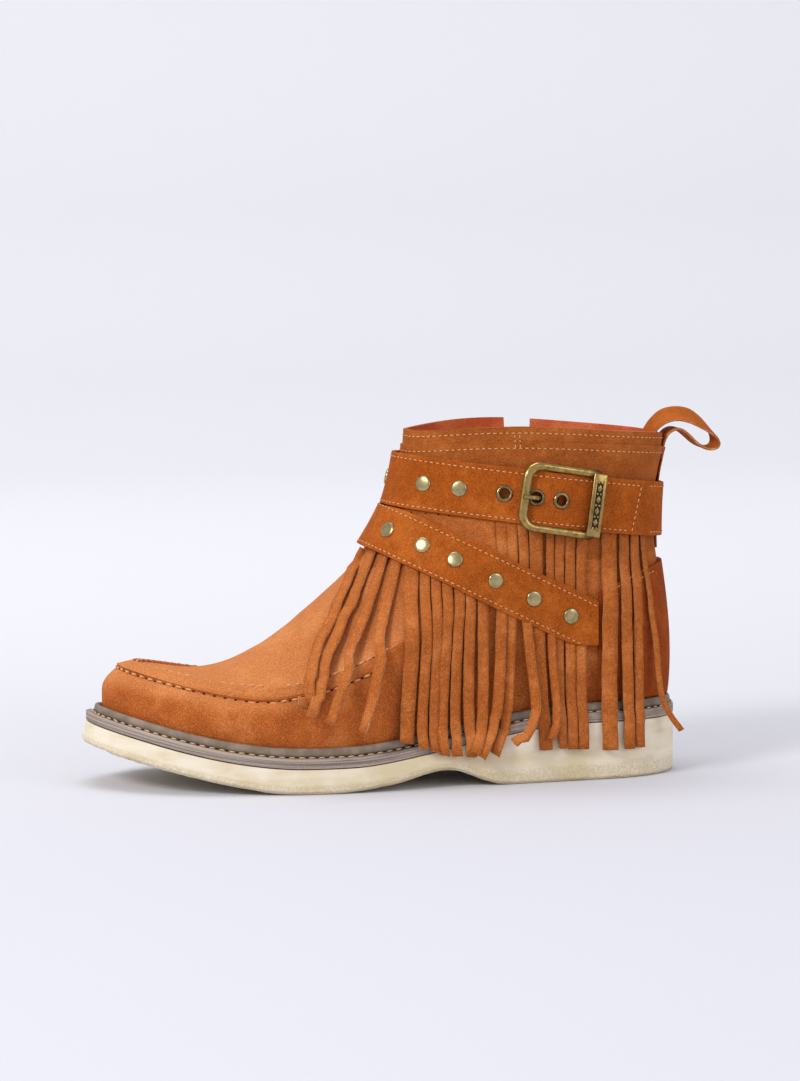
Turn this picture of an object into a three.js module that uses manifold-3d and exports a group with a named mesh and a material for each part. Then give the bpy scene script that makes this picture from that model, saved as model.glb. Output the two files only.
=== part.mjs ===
// Ankle boot for the left foot: suede upper, two straps, fringe, pull loop and a zip on the inner side.
// Millimetres. The middle of the heel's flat underside is the origin, the toe points along -X,
// the outer side of the foot is -Y, the inner side +Y, and +Z is up.

import * as THREE from 'three';
import { mergeVertices } from 'three/addons/utils/BufferGeometryUtils.js';
import Module from 'manifold-3d';

const wasm = await Module();
wasm.setup();

// Last: the length and width are those of the foot of the upper.
const upperLength = 257.5;
const heelReach = 40;
const ballWidth = 84.5;
const shaftHeight = 126;
const toeReach = upperLength - heelReach;

// Sole
const heelHeight = 26;
const foreThickness = 11.2;
const toeSpring = 20;
const archHeight = 8.4;
const treadInset = 1.5;
const treadBevel = 1.3;
const toeSplay = 2.2;
const midsoleThickness = 4.2;
const flangeToe = 7.6;
const flangeHeel = 5.4;
const weltWidth = 2.7;
const weltHeight = 4.3;
const insoleThickness = 3;

// Upper
const wall = 2.3;
const seamRelief = 1.3;
const collarStep = 0.9;
const wallBulge = 1.1;
const clearance = 0.3;
const counterThickness = 1.8;
const counterFront = 2;
const counterTop = 66;
const counterFall = 12;
const stripThickness = 0.8;
const stripWidth = 11;

// Straps: heights are those of the centre line above the floor, over the origin.
const strapThickness = 1.6;
const ankleStrapWidth = 24.6;
const ankleStrapHeight = 124.1;
const ankleStrapSlope = -0.124;
const ankleTailTip = 25;
const ankleTailSlant = 6;
const instepStrapWidth = 22.6;
const instepStrapHeight = 68.6;
const instepStrapSlope = -0.485;

// Fringe
const fringeThickness = 1;
const fringeGap = 0.65;
const fringeTuck = 4;
const strandWidth = 4.9;
const strandSteps = 8;
const strandSwell = 0.45;
const ridgeShare = 0.5;
const headerColumns = 62;
const headerStart = 0.012;
const strandOverlap = 2;

// Hardware
const studRadius = 3.45;
const studHeight = 2;
const eyeletRadius = 3.95;
const eyeletBore = 2.35;
const eyeletRim = 0.6;
const eyeletWall = 0.35;
const trimGap = 0.6;
const buckleLength = 38.6;
const buckleHeight = 34;
const buckleThickness = 2.4;
const buckleFront = 5;
const buckleBack = 4;
const buckleCorner = 7;
const openingCorner = 3;
const buckleBevel = 0.7;
const buckleBehind = 10.55;
const barBehind = 7.75;
const barRadius = 0.9;
const barHeight = 2.8;
const lugLength = 4;
const lugWidth = 3;
const bucklePlane = 4.8;
const plateWidth = 6.3;
const plateThickness = 1;
const plateCorner = 1;
const plateBevel = 0.4;
const prongRadius = 1.05;
const eyeWall = 0.7;
const eyeWidth = 2.6;
const eyeRadius = barRadius + clearance + eyeWall;
const prongHole = 0.733;
const eyeletSteps = [-13, 0, 10.7];

// Zip on the inner side
const zipAt = -20;
const zipSlot = 12.6;
const zipFoot = 52;
const zipTapeThickness = 1;
const zipChainWidth = 5;
const zipChainThickness = 0.9;
const sliderDrop = 5.37;
const sliderLength = 11;
const sliderWidth = 8;
const sliderThickness = 2.6;
const sliderGap = 0.5;
const bridgeLength = 9;
const bridgeWidth = 2.4;
const bridgeThickness = 1.2;
const legLength = 1.4;
const legHeight = 3.4;
const legSink = 0.2;
const pullLength = 22;
const pullWidth = 6.4;
const pullThickness = 1.2;
const pullHead = 0.7;
const pullRise = 1.8;
const windowWidth = 3.8;
const windowLength = 7.8;

// Pull loop
const loopWidth = 16;
const loopThickness = 1.5;
const loopReach = 22.6;
const loopRise = 10.8;
const loopTuck = 7;
const loopLean = 3.1;

const COLUMNS = 56;

// Foot outline: half width without its end rounding (share of half the ball width) and the swing
// of the centre line towards the inner side (share of the ball width), from toe to heel.
const footPlan = [
  { at: 0.0, full: 1.28, swing: 0.083 },
  { at: 0.2, full: 1.3, swing: 0.062 },
  { at: 0.3, full: 1.18, swing: 0.03 },
  { at: 0.4, full: 1.045, swing: -0.01 },
  { at: 0.5, full: 0.86, swing: -0.045 },
  { at: 0.6, full: 0.745, swing: -0.045 },
  { at: 0.7, full: 0.825, swing: -0.02 },
  { at: 0.8, full: 1.046, swing: -0.004 },
  { at: 1.0, full: 1.3, swing: 0 },
];

// Collar outline, in the same terms.
const collarPlan = [
  { at: 0.0, full: 0.8 },
  { at: 0.3, full: 0.75 },
  { at: 0.6, full: 0.75 },
  { at: 0.85, full: 0.8 },
  { at: 1.0, full: 0.86 },
];

// Rings of the upper from its foot to the collar: reach of the front (share of the toe reach) and of
// the back (share of the heel reach), rise above the sole at the front, ball, waist and back (shares
// of the shaft height), how far the outline is the collar's, and its width before and behind.
const rings = [
  { at: 0, front: 0.995, back: 1.0, rise: 0, rise3: 0, rise6: 0, riseBack: 0, oval: 0, fore: 1, rear: 1 },
  { at: 1, front: 0.998, back: 1.04, rise: 0.092, rise3: 0.089, rise6: 0.099, riseBack: 0.111,
    oval: 0, fore: 1.06, rear: 1.04 },
  { at: 2, front: 0.985, back: 1.045, rise: 0.142, rise3: 0.147, rise6: 0.25, riseBack: 0.2,
    oval: 0, fore: 1.04, rear: 1.07 },
  { at: 3, front: 0.963, back: 1.015, rise: 0.184, rise3: 0.184, rise6: 0.4, riseBack: 0.33,
    oval: 0.05, fore: 0.95, rear: 1.09 },
  { at: 4, front: 0.936, back: 0.99, rise: 0.209, rise3: 0.22, rise6: 0.45, riseBack: 0.39,
    oval: 0.1, fore: 0.9, rear: 1.1 },
  { at: 5, front: 0.871, back: 0.965, rise: 0.2, rise3: 0.255, rise6: 0.495, riseBack: 0.455,
    oval: 0.3, fore: 0.88, rear: 1.1 },
  { at: 6, front: 0.768, back: 0.93, rise: 0.233, rise3: 0.33, rise6: 0.545, riseBack: 0.52,
    oval: 0.45, fore: 0.84, rear: 1.1 },
  { at: 7, front: 0.653, back: 0.9, rise: 0.358, rise3: 0.448, rise6: 0.6, riseBack: 0.582,
    oval: 0.6, fore: 0.84, rear: 1.1 },
  { at: 8, front: 0.5655, back: 0.9, rise: 0.478, rise3: 0.548, rise6: 0.655, riseBack: 0.643,
    oval: 0.7, fore: 0.89, rear: 1.08 },
  { at: 9, front: 0.486, back: 0.9, rise: 0.607, rise3: 0.643, rise6: 0.71, riseBack: 0.698,
    oval: 0.8, fore: 0.94, rear: 1.06 },
  { at: 10, front: 0.43, back: 0.91, rise: 0.73, rise3: 0.742, rise6: 0.782, riseBack: 0.77,
    oval: 0.9, fore: 0.98, rear: 1.04 },
  { at: 11, front: 0.3955, back: 0.945, rise: 0.853, rise3: 0.849, rise6: 0.861, riseBack: 0.841,
    oval: 1, fore: 1, rear: 1.03 },
  { at: 12, front: 0.3785, back: 0.985, rise: 0.974, rise3: 0.959, rise6: 0.9325, riseBack: 0.897,
    oval: 1, fore: 1, rear: 1.03 },
  { at: 13, front: 0.375, back: 1.005, rise: 1.035, rise3: 1.012, rise6: 0.955, riseBack: 0.925,
    oval: 1, fore: 1, rear: 1.03 },
  { at: 14, front: 0.3725, back: 1.02, rise: 1.085, rise3: 1.062, rise6: 1.006, riseBack: 0.97,
    oval: 1, fore: 1, rear: 1.03 },
];

// Top of the outsole along the length (share of the upper's length behind the toe's foot), as shares
// of the toe spring, the forefoot thickness and the heel height.
const soleTopLine = [
  { at: -0.05, spring: 1.02, fore: 0.86, heel: 0 },
  { at: 0.03, spring: 0.72, fore: 0.9, heel: 0 },
  { at: 0.14, spring: 0.37, fore: 0.87, heel: 0 },
  { at: 0.225, spring: 0.14, fore: 0.92, heel: 0 },
  { at: 0.31, spring: 0, fore: 1, heel: 0 },
  { at: 0.4, spring: 0, fore: 0.98, heel: 0.01 },
  { at: 0.487, spring: 0, fore: 0.76, heel: 0.2 },
  { at: 0.545, spring: 0, fore: 0.6, heel: 0.37 },
  { at: 0.65, spring: 0, fore: 0.25, heel: 0.7 },
  { at: 0.75, spring: 0, fore: 0.05, heel: 0.93 },
  { at: 0.83, spring: 0, fore: 0, heel: 1 },
  { at: 1.05, spring: 0, fore: 0, heel: 1 },
];

// Tread of the outsole: toe spring, flat forefoot, arch, heel breast and flat heel.
const treadLine = [
  { at: -0.05, spring: 1.03, arch: 0 },
  { at: 0.015, spring: 0.76, arch: 0 },
  { at: 0.1, spring: 0.48, arch: 0 },
  { at: 0.163, spring: 0.28, arch: 0 },
  { at: 0.227, spring: 0.12, arch: 0 },
  { at: 0.285, spring: 0, arch: 0 },
  { at: 0.37, spring: 0, arch: 0 },
  { at: 0.459, spring: 0, arch: 0.28 },
  { at: 0.51, spring: 0, arch: 0.6 },
  { at: 0.55, spring: 0, arch: 0.95 },
  { at: 0.585, spring: 0, arch: 1 },
  { at: 0.615, spring: 0, arch: 0.65 },
  { at: 0.64, spring: 0, arch: 0.2 },
  { at: 0.655, spring: 0, arch: 0 },
  { at: 1.05, spring: 0, arch: 0 },
];

// Value of one column between the rows of a table, smooth and without overshoot.
function sample(rows, key, at) {
  const last = rows.length - 1;
  let i = 0;
  while (i < last - 1 && at > rows[i + 1].at) i += 1;
  const a = rows[i];
  const b = rows[i + 1];
  const span = b.at - a.at;
  const rate = (b[key] - a[key]) / span;
  const before = i > 0 ? (a[key] - rows[i - 1][key]) / (a.at - rows[i - 1].at) : rate;
  const after = i < last - 1 ? (rows[i + 2][key] - b[key]) / (rows[i + 2].at - b.at) : rate;
  const startRate = before * rate > 0 ? (2 * before * rate) / (before + rate) : 0;
  const endRate = after * rate > 0 ? (2 * after * rate) / (after + rate) : 0;
  const t = THREE.MathUtils.clamp((at - a.at) / span, 0, 1);
  const s = 1 - t;
  return a[key] * (1 + 2 * t) * s * s + b[key] * (3 - 2 * t) * t * t
    + span * t * s * (startRate * s - endRate * t);
}

const smooth = (low, high, value) => THREE.MathUtils.smoothstep(value, low, high);
const along = (x) => (x + toeReach) / upperLength;
const xAt = (share) => share * upperLength - toeReach;

// The buckle and its bar keep their places behind the eyelet that the prong goes through.
const holeAt = xAt(prongHole);
const buckleAt = holeAt + buckleBehind;
const barAt = holeAt + barBehind;
const eyeletXs = eyeletSteps.map((step) => holeAt + step);

// Further out than any piece of the boot.
const beyond = upperLength;

function soleTop(x) {
  const at = along(x);
  return sample(soleTopLine, 'spring', at) * toeSpring + sample(soleTopLine, 'fore', at) * foreThickness
    + sample(soleTopLine, 'heel', at) * heelHeight;
}

function tread(x) {
  const at = along(x);
  return sample(treadLine, 'spring', at) * toeSpring + sample(treadLine, 'arch', at) * archHeight;
}

const seat = (x) => soleTop(x) + clearance + midsoleThickness;

// The upper's surface without its relief: level runs over the rings, q from the front (0) to the
// back (1), side is -1 on the outer side and +1 on the inner side.
function lastPoint(level, q, side) {
  const ring = (key) => sample(rings, key, level);
  const share = (1 - Math.cos(Math.PI * q)) / 2;
  const front = -toeReach * ring('front');
  const back = heelReach * ring('back');
  const x = front + (back - front) * share;
  const oval = ring('oval');
  const full = THREE.MathUtils.lerp(sample(footPlan, 'full', q), sample(collarPlan, 'full', q), oval);
  const width = THREE.MathUtils.lerp(ring('fore'), ring('rear'), smooth(0.2, 0.6, q));
  const half = (ballWidth / 2) * full * width * Math.sin(Math.PI * q);
  const swing = ballWidth * sample(footPlan, 'swing', q) * (1 - oval);
  const heights = [
    { at: 0, z: ring('rise') },
    { at: 0.3, z: ring('rise3') },
    { at: 0.6, z: ring('rise6') },
    { at: 1, z: ring('riseBack') },
  ];
  const rise = sample(heights, 'z', q) * shaftHeight;
  return new THREE.Vector3(x, swing + side * half, seat(x) + clearance + rise);
}

function lastNormal(level, q, side) {
  const step = 0.01;
  const wrapped = (value) => {
    if (value < 0) return lastPoint(level, -value, -side);
    if (value > 1) return lastPoint(level, 2 - value, -side);
    return lastPoint(level, value, side);
  };
  const alongRing = wrapped(q + step).sub(wrapped(q - step));
  const low = Math.max(level - 5 * step, 0);
  const high = Math.min(level + 5 * step, rings.length - 1);
  const upward = lastPoint(high, q, side).sub(lastPoint(low, q, side));
  return alongRing.cross(upward).multiplyScalar(-side).normalize();
}

// A point on the last moved out along its normal.
const offLast = (level, q, side, out) => (out === 0 ? lastPoint(level, q, side)
  : lastPoint(level, q, side).addScaledVector(lastNormal(level, q, side), out));

// Places round a ring: out along the outer side and back along the inner side.
function around(count) {
  return Array.from({ length: count }, (_, i) => (i <= count / 2
    ? { q: (2 * i) / count, side: -1 }
    : { q: 2 - (2 * i) / count, side: 1 }));
}

// Outline of the foot moved outwards in plan.
function footprint(q, side, out) {
  const step = 0.004;
  const at = (value) => {
    if (value < 0) return lastPoint(0, -value, -side);
    if (value > 1) return lastPoint(0, 2 - value, -side);
    return lastPoint(0, value, side);
  };
  const run = at(q + step).sub(at(q - step));
  const outward = new THREE.Vector3(run.y, -run.x, 0).multiplyScalar(-side).normalize();
  return at(q).addScaledVector(outward, out);
}

const flange = (q) => THREE.MathUtils.lerp(flangeToe, flangeHeel, smooth(0.45, 0.85, q));

// Closed mesh from rings of points with the same count. Each end is closed by a lid or by the next
// ring in a loop. flip turns the faces.
class Shell {
  constructor() {
    this.points = [];
    this.faces = [];
  }

  ring(points) {
    const start = this.points.length;
    this.points.push(...points);
    return Array.from({ length: points.length }, (_, i) => start + i);
  }

  join(lower, upper) {
    const count = lower.length;
    for (let i = 0; i < count; i += 1) {
      const j = (i + 1) % count;
      this.faces.push([lower[i], lower[j], upper[j]], [lower[i], upper[j], upper[i]]);
    }
  }

  // Lid across a ring that was made by around(): strips between the two sides.
  lid(ring, up) {
    const count = ring.length;
    for (let i = 0; i < count / 2; i += 1) {
      const a = ring[i];
      const b = ring[i + 1];
      const c = ring[(count - i - 1) % count];
      const d = ring[(count - i) % count];
      const pair = [];
      if (b !== c) pair.push([a, b, c]);
      if (a !== d) pair.push([a, c, d]);
      pair.forEach((face) => this.faces.push(up ? face : [face[0], face[2], face[1]]));
    }
  }

  geometry() {
    const flat = new THREE.BufferGeometry();
    flat.setAttribute('position', new THREE.Float32BufferAttribute(
      this.points.flatMap((p) => [p.x, p.y, p.z]), 3));
    flat.setIndex(this.faces.flat());
    return flat;
  }
}

function loft(ringsOfPoints, lids) {
  const shell = new Shell();
  const made = ringsOfPoints.map((points) => shell.ring(points));
  for (let i = 0; i < made.length - 1; i += 1) shell.join(made[i], made[i + 1]);
  if (lids) {
    shell.lid(made[0], false);
    shell.lid(made[made.length - 1], true);
  } else {
    shell.join(made[made.length - 1], made[0]);
  }
  return shell.geometry();
}

const soleStations = around(76);
const atHeight = (point, height) => new THREE.Vector3(point.x, point.y, height(point.x));
const outlineRing = (stations, out, height) => stations
  .map(({ q, side }) => atHeight(footprint(q, side, out(q)), height));

function outsole() {
  const splayed = (q) => flange(q) + toeSplay * (1 - smooth(0, 0.35, q));
  return loft([
    outlineRing(soleStations, (q) => splayed(q) - treadInset, tread),
    outlineRing(soleStations, splayed, (x) => tread(x) + treadBevel),
    outlineRing(soleStations, flange, soleTop),
  ], true);
}

function midsole() {
  return loft([
    outlineRing(soleStations, flange, (x) => soleTop(x) + clearance),
    outlineRing(soleStations, flange, seat),
  ], true);
}

function welt() {
  const section = [
    { out: clearance, up: 0 },
    { out: clearance + weltWidth, up: 0 },
    { out: clearance + weltWidth, up: 0.5 },
    { out: clearance + 0.65 * weltWidth, up: 1 },
    { out: clearance, up: 0.9 },
  ];
  return loft(section.map(({ out, up }) => outlineRing(around(56), () => wallBulge + out,
    (x) => seat(x) + clearance + up * weltHeight)), false);
}

function insole() {
  const inset = () => -wall - 2 * clearance;
  const stations = around(COLUMNS);
  return loft([
    outlineRing(stations, inset, (x) => seat(x) + clearance),
    outlineRing(stations, inset, (x) => seat(x) + clearance + insoleThickness),
  ], true);
}

// Relief on the upper: the apron's raised seam, which fades out under the fringe, and the collar
// band, which lies lower than the shaft.
function relief(level, q) {
  const seamFade = 1 - smooth(0.36, 0.46, q);
  if (level >= 2.95 && level <= 4.05) return seamRelief * seamFade;
  return level > 12.95 ? -collarStep : 0;
}

const outerLevels = [0, 0.5, 1, 1.5, 2, 2.6, 2.88, 2.95, 4.05, 4.12, 4.5, 5, 5.5, 6, 6.5, 7, 7.5, 8, 8.5,
  9, 9.5, 10, 10.5, 11, 12, 12.94, 12.96, 14];
const innerLevels = [14, 12, 10.5, 9, 8, 7, 5.5, 4, 2.5, 1, 0];

function upperShell() {
  const stations = around(COLUMNS);
  const outer = outerLevels.map((level) => stations
    .map(({ q, side }) => offLast(level, q, side, relief(level, q))));
  const inner = innerLevels.map((level) => stations
    .map(({ q, side }) => {
      const flat = lastNormal(level, q, side);
      if (level === 0) flat.setZ(0).normalize();
      return lastPoint(level, q, side).addScaledVector(flat, -wall);
    }));
  return loft([...outer, ...inner], false);
}

// Cutting and joining.
function solid(geometry) {
  const bare = geometry.clone();
  bare.deleteAttribute('normal');
  bare.deleteAttribute('uv');
  const merged = mergeVertices(bare, 1e-4);
  return new wasm.Manifold(new wasm.Mesh({
    numProp: 3,
    vertProperties: new Float32Array(merged.attributes.position.array),
    triVerts: new Uint32Array(merged.index.array),
  }));
}

function surfaceOf(manifold) {
  const mesh = manifold.getMesh();
  const geometry = new THREE.BufferGeometry();
  geometry.setAttribute('position', new THREE.BufferAttribute(mesh.vertProperties, 3));
  geometry.setIndex(new THREE.BufferAttribute(mesh.triVerts, 1));
  return geometry;
}

const cut = (geometry, ...tools) => surfaceOf(tools
  .reduce((rest, tool) => rest.subtract(solid(tool)), solid(geometry)));
const keep = (geometry, tool) => surfaceOf(solid(geometry).intersect(solid(tool)));
const fuse = (...pieces) => surfaceOf(pieces.slice(1)
  .reduce((whole, piece) => whole.add(solid(piece)), solid(pieces[0])));

// Prism along Y between y = low and y = high from an outline of [x, z] corners.
function prism(corners, low, high) {
  const shape = new THREE.Shape(corners.map(([x, z]) => new THREE.Vector2(x, z)));
  const body = new THREE.ExtrudeGeometry(shape, { depth: high - low, bevelEnabled: false });
  return body.rotateX(Math.PI / 2).translate(0, high, 0);
}

const upright = (left, right, low, high, near, far) => prism(
  [[left, low], [right, low], [right, high], [left, high]], near, far);

// What lies on the upper hangs free below its widest level: from there it runs out over the edge of
// the sole and then straight down.
const drapeLevel = 2;
const hangDepth = 40;
const hangGap = 1.2;

function draped(level, q, side, out) {
  if (level >= drapeLevel) return offLast(level, q, side, out);
  const edge = footprint(q, side, flange(q) + hangGap + out);
  edge.z = seat(edge.x);
  if (level < 0) return edge.setZ(edge.z + level * hangDepth);
  return edge.lerp(offLast(drapeLevel, q, side, out), level / drapeLevel);
}

function drapedNormal(level, q, side) {
  if (level > drapeLevel) return lastNormal(level, q, side);
  const step = 0.01;
  const upward = draped(level + step, q, side, 0).sub(draped(level - step, q, side, 0));
  return draped(level, q + step, side, 0).sub(draped(level, q - step, side, 0))
    .cross(upward).multiplyScalar(-side).normalize();
}

function bisect(low, high, below) {
  let a = low;
  let b = high;
  for (let i = 0; i < 16; i += 1) {
    const middle = (a + b) / 2;
    if (below(middle)) a = middle;
    else b = middle;
  }
  return (a + b) / 2;
}

// Level and q where the draped surface passes a given x and height.
const levelAt = (q, z, side) => bisect(-1, 14, (level) => draped(level, q, side, 0).z < z);

function placeOf(x, z, side) {
  const q = bisect(0.001, 0.999, (value) => draped(levelAt(value, z, side), value, side, 0).x < x);
  return { level: levelAt(q, z, side), q };
}

const onDrape = (x, z, side, out) => {
  const { level, q } = placeOf(x, z, side);
  return draped(level, q, side, out);
};

// A strap is a line of heights along x, with the level where it passes each place round the boot.
const lineAt = (line, x) => line.height + line.slope * x;
const rises = (line) => line.width / 2 / Math.cos(Math.atan(line.slope));
const levelOn = (line, q, side, shift) => bisect(drapeLevel, 14, (level) => {
  const point = lastPoint(level, q, side);
  return point.z < lineAt(line, point.x) + shift;
});

// Places along a band from one q to another: negative values lie on the inner side, and values
// beyond 1 run on round the back to the inner side.
function places(from, to, count) {
  return Array.from({ length: count + 1 }, (_, i) => {
    const q = from + ((to - from) * i) / count;
    if (q < 0) return { q: -q, side: 1 };
    if (q > 1) return { q: 2 - q, side: 1 };
    return { q, side: -1 };
  });
}

// Loft of equal sections with flat ends.
function beam(sections) {
  const shell = new Shell();
  const made = sections.map((points) => shell.ring(points));
  for (let i = 0; i < made.length - 1; i += 1) shell.join(made[i], made[i + 1]);
  const fan = (ring, flip) => {
    for (let i = 1; i < ring.length - 1; i += 1) {
      shell.faces.push(flip ? [ring[0], ring[i + 1], ring[i]] : [ring[0], ring[i], ring[i + 1]]);
    }
  };
  fan(made[0], true);
  fan(made[made.length - 1], false);
  const body = shell.geometry();
  const volume = solidVolume(body);
  if (volume < 0) shell.faces.forEach((face) => face.reverse());
  return volume < 0 ? shell.geometry() : body;
}

function solidVolume(geometry) {
  const point = geometry.attributes.position;
  const index = geometry.index.array;
  const corner = (i) => new THREE.Vector3().fromBufferAttribute(point, index[i]);
  let volume = 0;
  for (let i = 0; i < index.length; i += 3) volume += corner(i).dot(corner(i + 1).cross(corner(i + 2)));
  return volume;
}

// Strap on the upper along a line; inner is how far its back lies off the surface. Its upper edge
// stays under ceiling, a level for each place.
function strapOn(stations, line, inner, ceiling = () => rings.length) {
  return beam(stations.map(({ q, side }) => {
    const [low, middle, high] = [-1, 0, 1].map((edge) => levelOn(line, q, side, edge * rises(line)));
    const levels = [low, middle, Math.min(high, ceiling(q, side))];
    const rim = (out) => levels.map((level) => offLast(level, q, side,
      inner(lastPoint(level, q, side).x, side) + out));
    return [...rim(strapThickness), ...rim(0).reverse()];
  }));
}

const strapBed = fringeGap + fringeThickness + clearance;
const overFringe = strapBed + strandSwell;
const ankleLine = { height: ankleStrapHeight, slope: ankleStrapSlope, width: ankleStrapWidth };
const instepLine = { height: instepStrapHeight, slope: instepStrapSlope, width: instepStrapWidth };
const zipEdge = zipSlot / 2 + 2 * clearance;
const behindZip = () => upright(zipAt - zipEdge, beyond, 0, beyond, 0, beyond);
const beforeZip = () => upright(-beyond, zipAt + zipEdge, 0, beyond, 0, beyond);

// The tail lies on the upper, climbs over the buckle's centre bar and ends on the back part.
// These are distances before and behind the bar.
const tailRise = { climbStart: 19, climbEnd: 3, settleStart: 3, settleEnd: 15 };

function tailBed(x, side) {
  if (side > 0) return strapBed;
  const overBar = barHeight + eyeRadius + clearance;
  const overBack = strapBed + strapThickness + clearance;
  const climb = smooth(barAt - tailRise.climbStart, barAt - tailRise.climbEnd, x) * (overBar - strapBed);
  const settle = smooth(barAt + tailRise.settleStart, barAt + tailRise.settleEnd, x) * (overBar - overBack);
  return strapBed + climb - settle;
}

// Frames on the tail's face, tilted with the tail.
function eyeletPlaces() {
  return eyeletXs.map((middle) => {
    const [before, after] = [-eyeletRadius, eyeletRadius].map((shift) => {
      const x = middle + shift;
      return onDrape(x, lineAt(ankleLine, x), -1, tailBed(x, -1) + strapThickness);
    });
    const { level, q } = placeOf(middle, lineAt(ankleLine, middle), -1);
    const run = after.clone().sub(before).normalize();
    const across = lastNormal(level, q, -1).cross(run).normalize();
    return new THREE.Matrix4().makeBasis(run, across, run.clone().cross(across))
      .setPosition(before.add(after).multiplyScalar(0.5));
  });
}

// Frame on the draped surface: origin off the surface, z along its normal, x along the strap.
function normalFrame(x, z, side, out) {
  const { level, q } = placeOf(x, z, side);
  const normal = lastNormal(level, q, side);
  const origin = offLast(level, q, side, out);
  const direction = new THREE.Vector3(1, 0, ankleStrapSlope);
  const across = normal.clone().cross(direction).normalize();
  const lengthways = across.clone().cross(normal);
  return new THREE.Matrix4().makeBasis(lengthways, across, normal).setPosition(origin);
}

// The tail's end is slanted: its upper corner reaches further back than its lower one.
function ankleStrapTail() {
  const strap = strapOn(places(-0.6, 0.83, 46), ankleLine, tailBed);
  const [middle, run] = [ankleTailTip - ankleTailSlant / 2, 2 * rises(ankleLine)];
  const height = lineAt(ankleLine, middle);
  const slant = prism([[middle - ankleTailSlant, height - run], [beyond, height - run],
    [beyond, height + run], [middle + ankleTailSlant, height + run]], -beyond, 0);
  const drill = eyeletBore + eyeletWall + 2 * clearance;
  const drills = eyeletPlaces().map((frame) => new THREE.CylinderGeometry(drill, drill, 8, 14)
    .rotateX(Math.PI / 2).applyMatrix4(frame));
  return cut(strap, behindZip(), slant, ...drills);
}

const buckleSeat = normalFrame(buckleAt, lineAt(ankleLine, buckleAt), -1, 0);

function ankleStrapBack() {
  const strap = strapOn(places(0.45, 1.55, 34), ankleLine, () => strapBed);
  const before = new THREE.BoxGeometry(2 * ballWidth, ballWidth, 2 * ankleStrapWidth)
    .translate(barAt - buckleAt + eyeRadius + 2 * clearance - ballWidth, 0, 0).applyMatrix4(buckleSeat);
  return cut(strap, beforeZip(), before);
}

// Ends of the fringe's groups at the heel (shares behind the toe's foot).
const heelGroups = { outer: { from: 0.852, to: 0.938 }, inner: { from: 0.823, to: 0.935 } };

function instepStrap() {
  const end = xAt(heelGroups.outer.from) - 2 * clearance;
  const underAnkleStrap = (q, side) => levelOn(ankleLine, q, side, -rises(ankleLine) - 2 * clearance);
  const strap = strapOn(places(-0.68, 0.8, 44), instepLine, () => overFringe, underAnkleStrap);
  return cut(strap, behindZip(), upright(end, beyond, 0, beyond, -beyond, 0));
}

// Shell between two larger forms of the upper.
function overlay(levels, stations, inner, thickness) {
  return beam(stations.map(({ q, side }) => [
    ...levels.map((level) => offLast(level, q, side, inner + thickness)),
    ...[...levels].reverse().map((level) => offLast(level, q, side, inner)),
  ]));
}

function heelCounter() {
  const shell = overlay([0, 0.7, 1.4, 2.4, 3.6, 5, 7], places(0.68, 1.32, 24), clearance,
    counterThickness);
  const foot = seat(0) + weltHeight + 3 * clearance;
  const top = seat(0) + counterTop;
  return keep(shell, prism([[counterFront, foot], [beyond, foot], [beyond, top], [heelReach, top],
    [heelReach / 2, top - counterFall / 3], [counterFront, top - counterFall]], -beyond, beyond));
}

function backStrip() {
  const edge = 1 - 0.075;
  const shell = overlay([6.6, 8, 9, 10, 11, 12, 12.9], places(edge, 2 - edge, 6), clearance,
    stripThickness);
  const bottom = seat(0) + counterTop + clearance;
  return keep(shell, upright(0, beyond, bottom, beyond, -stripWidth / 2, stripWidth / 2));
}

// Fringe strands. root and tip lie along the upper's length (shares behind the toe's foot), low is
// the tip's height (share of the shaft height), wide the width (share of the strand width). Strands
// start under the instep strap, or under the ankle strap where high is 1.
const outerStrands = [
  { root: 0.459, tip: 0.308, low: 0.3, wide: 1.0, high: 0 },
  { root: 0.473, tip: 0.329, low: 0.268, wide: 1.0, high: 0 },
  { root: 0.488, tip: 0.355, low: 0.252, wide: 0.8, high: 0 },
  { root: 0.505, tip: 0.408, low: 0.218, wide: 1.0, high: 0 },
  { root: 0.526, tip: 0.492, low: 0.162, wide: 1.25, high: 0 },
  { root: 0.545, tip: 0.521, low: 0.148, wide: 1.0, high: 0 },
  { root: 0.563, tip: 0.543, low: 0.137, wide: 0.9, high: 0 },
  { root: 0.58, tip: 0.563, low: 0.121, wide: 0.95, high: 0 },
  { root: 0.598, tip: 0.584, low: 0.114, wide: 0.9, high: 0 },
  { root: 0.617, tip: 0.607, low: 0.108, wide: 1.0, high: 0 },
  { root: 0.638, tip: 0.63, low: 0.125, wide: 1.0, high: 0 },
  { root: 0.676, tip: 0.655, low: 0.096, wide: 1.0, high: 1 },
  { root: 0.694, tip: 0.677, low: 0.094, wide: 0.95, high: 1 },
  { root: 0.713, tip: 0.706, low: 0.19, wide: 0.85, high: 1 },
  { root: 0.736, tip: 0.737, low: 0.122, wide: 1.25, high: 1 },
  { root: 0.761, tip: 0.757, low: 0.162, wide: 0.7, high: 1 },
  { root: 0.78, tip: 0.778, low: 0.123, wide: 0.9, high: 1 },
  { root: 0.799, tip: 0.8, low: 0.119, wide: 0.95, high: 1 },
  { root: 0.82, tip: 0.821, low: 0.117, wide: 0.95, high: 1 },
];
const heelStrands = [
  { root: 0.871, tip: 0.869, low: 0.108, wide: 1.4, high: 1 },
  { root: 0.902, tip: 0.905, low: 0.107, wide: 1.0, high: 1 },
  { root: 0.927, tip: 0.93, low: 0.11, wide: 0.85, high: 1 },
];
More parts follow.
